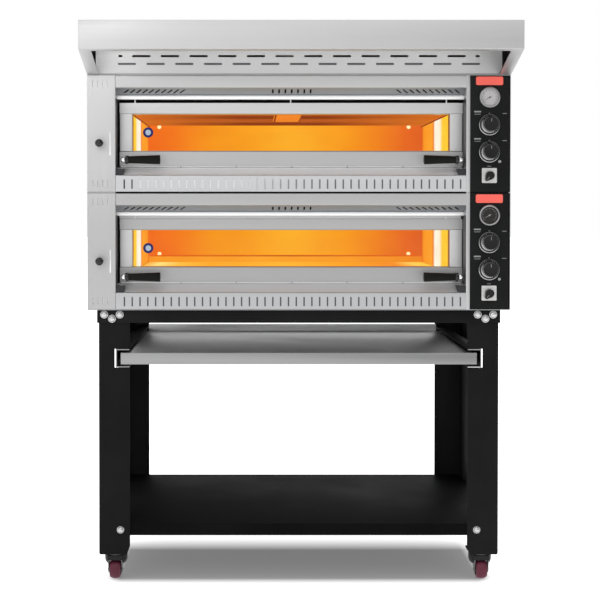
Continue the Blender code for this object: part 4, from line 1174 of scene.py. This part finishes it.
def studio():
    scene = bpy.context.scene
    scene.view_settings.view_transform = "Standard"
    floor_look = Tree("studio_floor")
    drift = floor_look.noise(0.8, detail=2.0)
    shade = floor_look.mix(floor_look.spread(drift, 0, 1), 0.9, 0.93)
    # Painted shadow: a soft dark patch on the floor under the front of the stand, where the floor glows
    # less and camera rays see it darker.
    under = None
    for side, start, end in (("x", -650, -580), ("x", 655, 585), ("y", -368, -290), ("y", 182, 34)):
        edge = floor_look.along(side, 0, 1, start, end)
        under = edge if under is None else floor_look.mix(1.0, under, edge, "MULTIPLY")
    glow = floor_look.mix(under, 0.95, 0.172)
    seen = floor_look.add("ShaderNodeLightPath").outputs["Is Camera Ray"]
    floor_look.set(Emission_Color=floor_look.mix(seen, 0.385, glow))
    dim = floor_look.mix(under, shade, 0.28)
    floor_look.set(Base_Color=floor_look.mix(seen, shade, dim))
    floor_look.set(Roughness=0.75, Specular_IOR_Level=0.1, Emission_Strength=1.0)
    bm = bmesh.new()
    bmesh.ops.create_grid(bm, x_segments=8, y_segments=8, size=40)
    mesh = bpy.data.meshes.new("studio_floor")
    bm.to_mesh(mesh)
    bm.free()
    floor = linked("studio_floor", mesh)
    floor.location.z = -0.0005
    floor.data.materials.append(floor_look.material)

    world = bpy.data.worlds.new("studio")
    scene.world = world
    world.use_nodes = True
    tree = world.node_tree
    background = tree.nodes["Background"]
    place = tree.nodes.new("ShaderNodeTexCoord")
    split = tree.nodes.new("ShaderNodeSeparateXYZ")
    tree.links.new(place.outputs["Generated"], split.inputs[0])

    def span(output, start, end, low, high):
        node = tree.nodes.new("ShaderNodeMapRange")
        node.interpolation_type = "SMOOTHSTEP"
        for key, number in zip(("From Min", "From Max", "To Min", "To Max"), (start, end, low, high)):
            node.inputs[key].default_value = number
        tree.links.new(output, node.inputs["Value"])
        return node.outputs["Result"]

    def blend(factor, first, second):
        node = tree.nodes.new("ShaderNodeMix")
        tree.links.new(factor, node.inputs[0])
        for socket, value in ((node.inputs[2], first), (node.inputs[3], second)):
            if isinstance(value, float):
                socket.default_value = value
            else:
                tree.links.new(value, socket)
        return node.outputs[0]

    # White behind the oven; in front of it the room is bright on the left and dim on the right.
    front = span(split.outputs["X"], -0.9, 0.8, 0.84, 0.46)
    level = blend(span(split.outputs["Y"], 0.35, -0.1, 0.0, 1.0), 1.0, front)
    level = blend(span(split.outputs["Z"], 0.35, 0.9, 0.0, 1.0), level, 0.95)
    seen = tree.nodes.new("ShaderNodeLightPath").outputs["Is Camera Ray"]
    tree.links.new(blend(seen, level, 1.0), background.inputs["Strength"])
    background.inputs["Color"].default_value = (1, 1, 1, 1)

    def soft_light(name, place, target, size, watts):
        data = bpy.data.lights.new(name, "AREA")
        data.shape = "RECTANGLE"
        data.size, data.size_y = size
        data.energy = watts
        light = bpy.data.objects.new(name, data)
        scene.collection.objects.link(light)
        light.location = place
        aim = Vector(target) - Vector(place)
        light.rotation_euler = aim.to_track_quat("-Z", "Y").to_euler()
        light.visible_camera = False

    soft_light("key_left", (-1.25, -3.3, 2.35), (-0.6, -0.4, 1.6), (1.0, 1.0), 2.6)
    soft_light("front_top", (0, -3.6, 3.0), (0, 0, 1.0), (3.0, 0.5), 6)
    soft_light("top", (0, -0.6, 4.2), (0, 0, 0), (3.5, 2.5), 24)
    soft_light("hood_end", (-0.92, -1.05, 1.86), (-0.64, -0.53, 1.74), (0.25, 0.25), 0.45)
    soft_light("hood_fill", (-0.02, -0.51, 1.712), (-0.02, 0.2, 1.7), (1.26, 0.03), 0.26)
    soft_light("hood_left", (-0.6, -0.51, 1.712), (-0.7, 0.2, 1.7), (0.1, 0.03), 0.035)

    camera = bpy.data.objects.new("camera", bpy.data.cameras.new("camera"))
    scene.collection.objects.link(camera)
    camera.location = (-0.14, -4.261, 1.224)
    camera.rotation_euler = (radians(90 - 0.88), 0, 0)
    camera.data.sensor_width = 36
    camera.data.lens = 73.3
    camera.data.shift_x = 0.0744
    camera.data.shift_y = -0.13
    camera.data.clip_end = 200
    scene.camera = camera


def main():
    dress_hood()
    dress_stand()
    dress_castors()
    for deck, z in DECK_Z.items():
        dress_casing(deck, z)
        dress_fascias(deck, z)
        dress_columns(deck, z)
        dress_chamber(deck, z)
        dress_door(deck, z)
        dress_controls(deck, z)
    dress_seams()
    studio()


main()
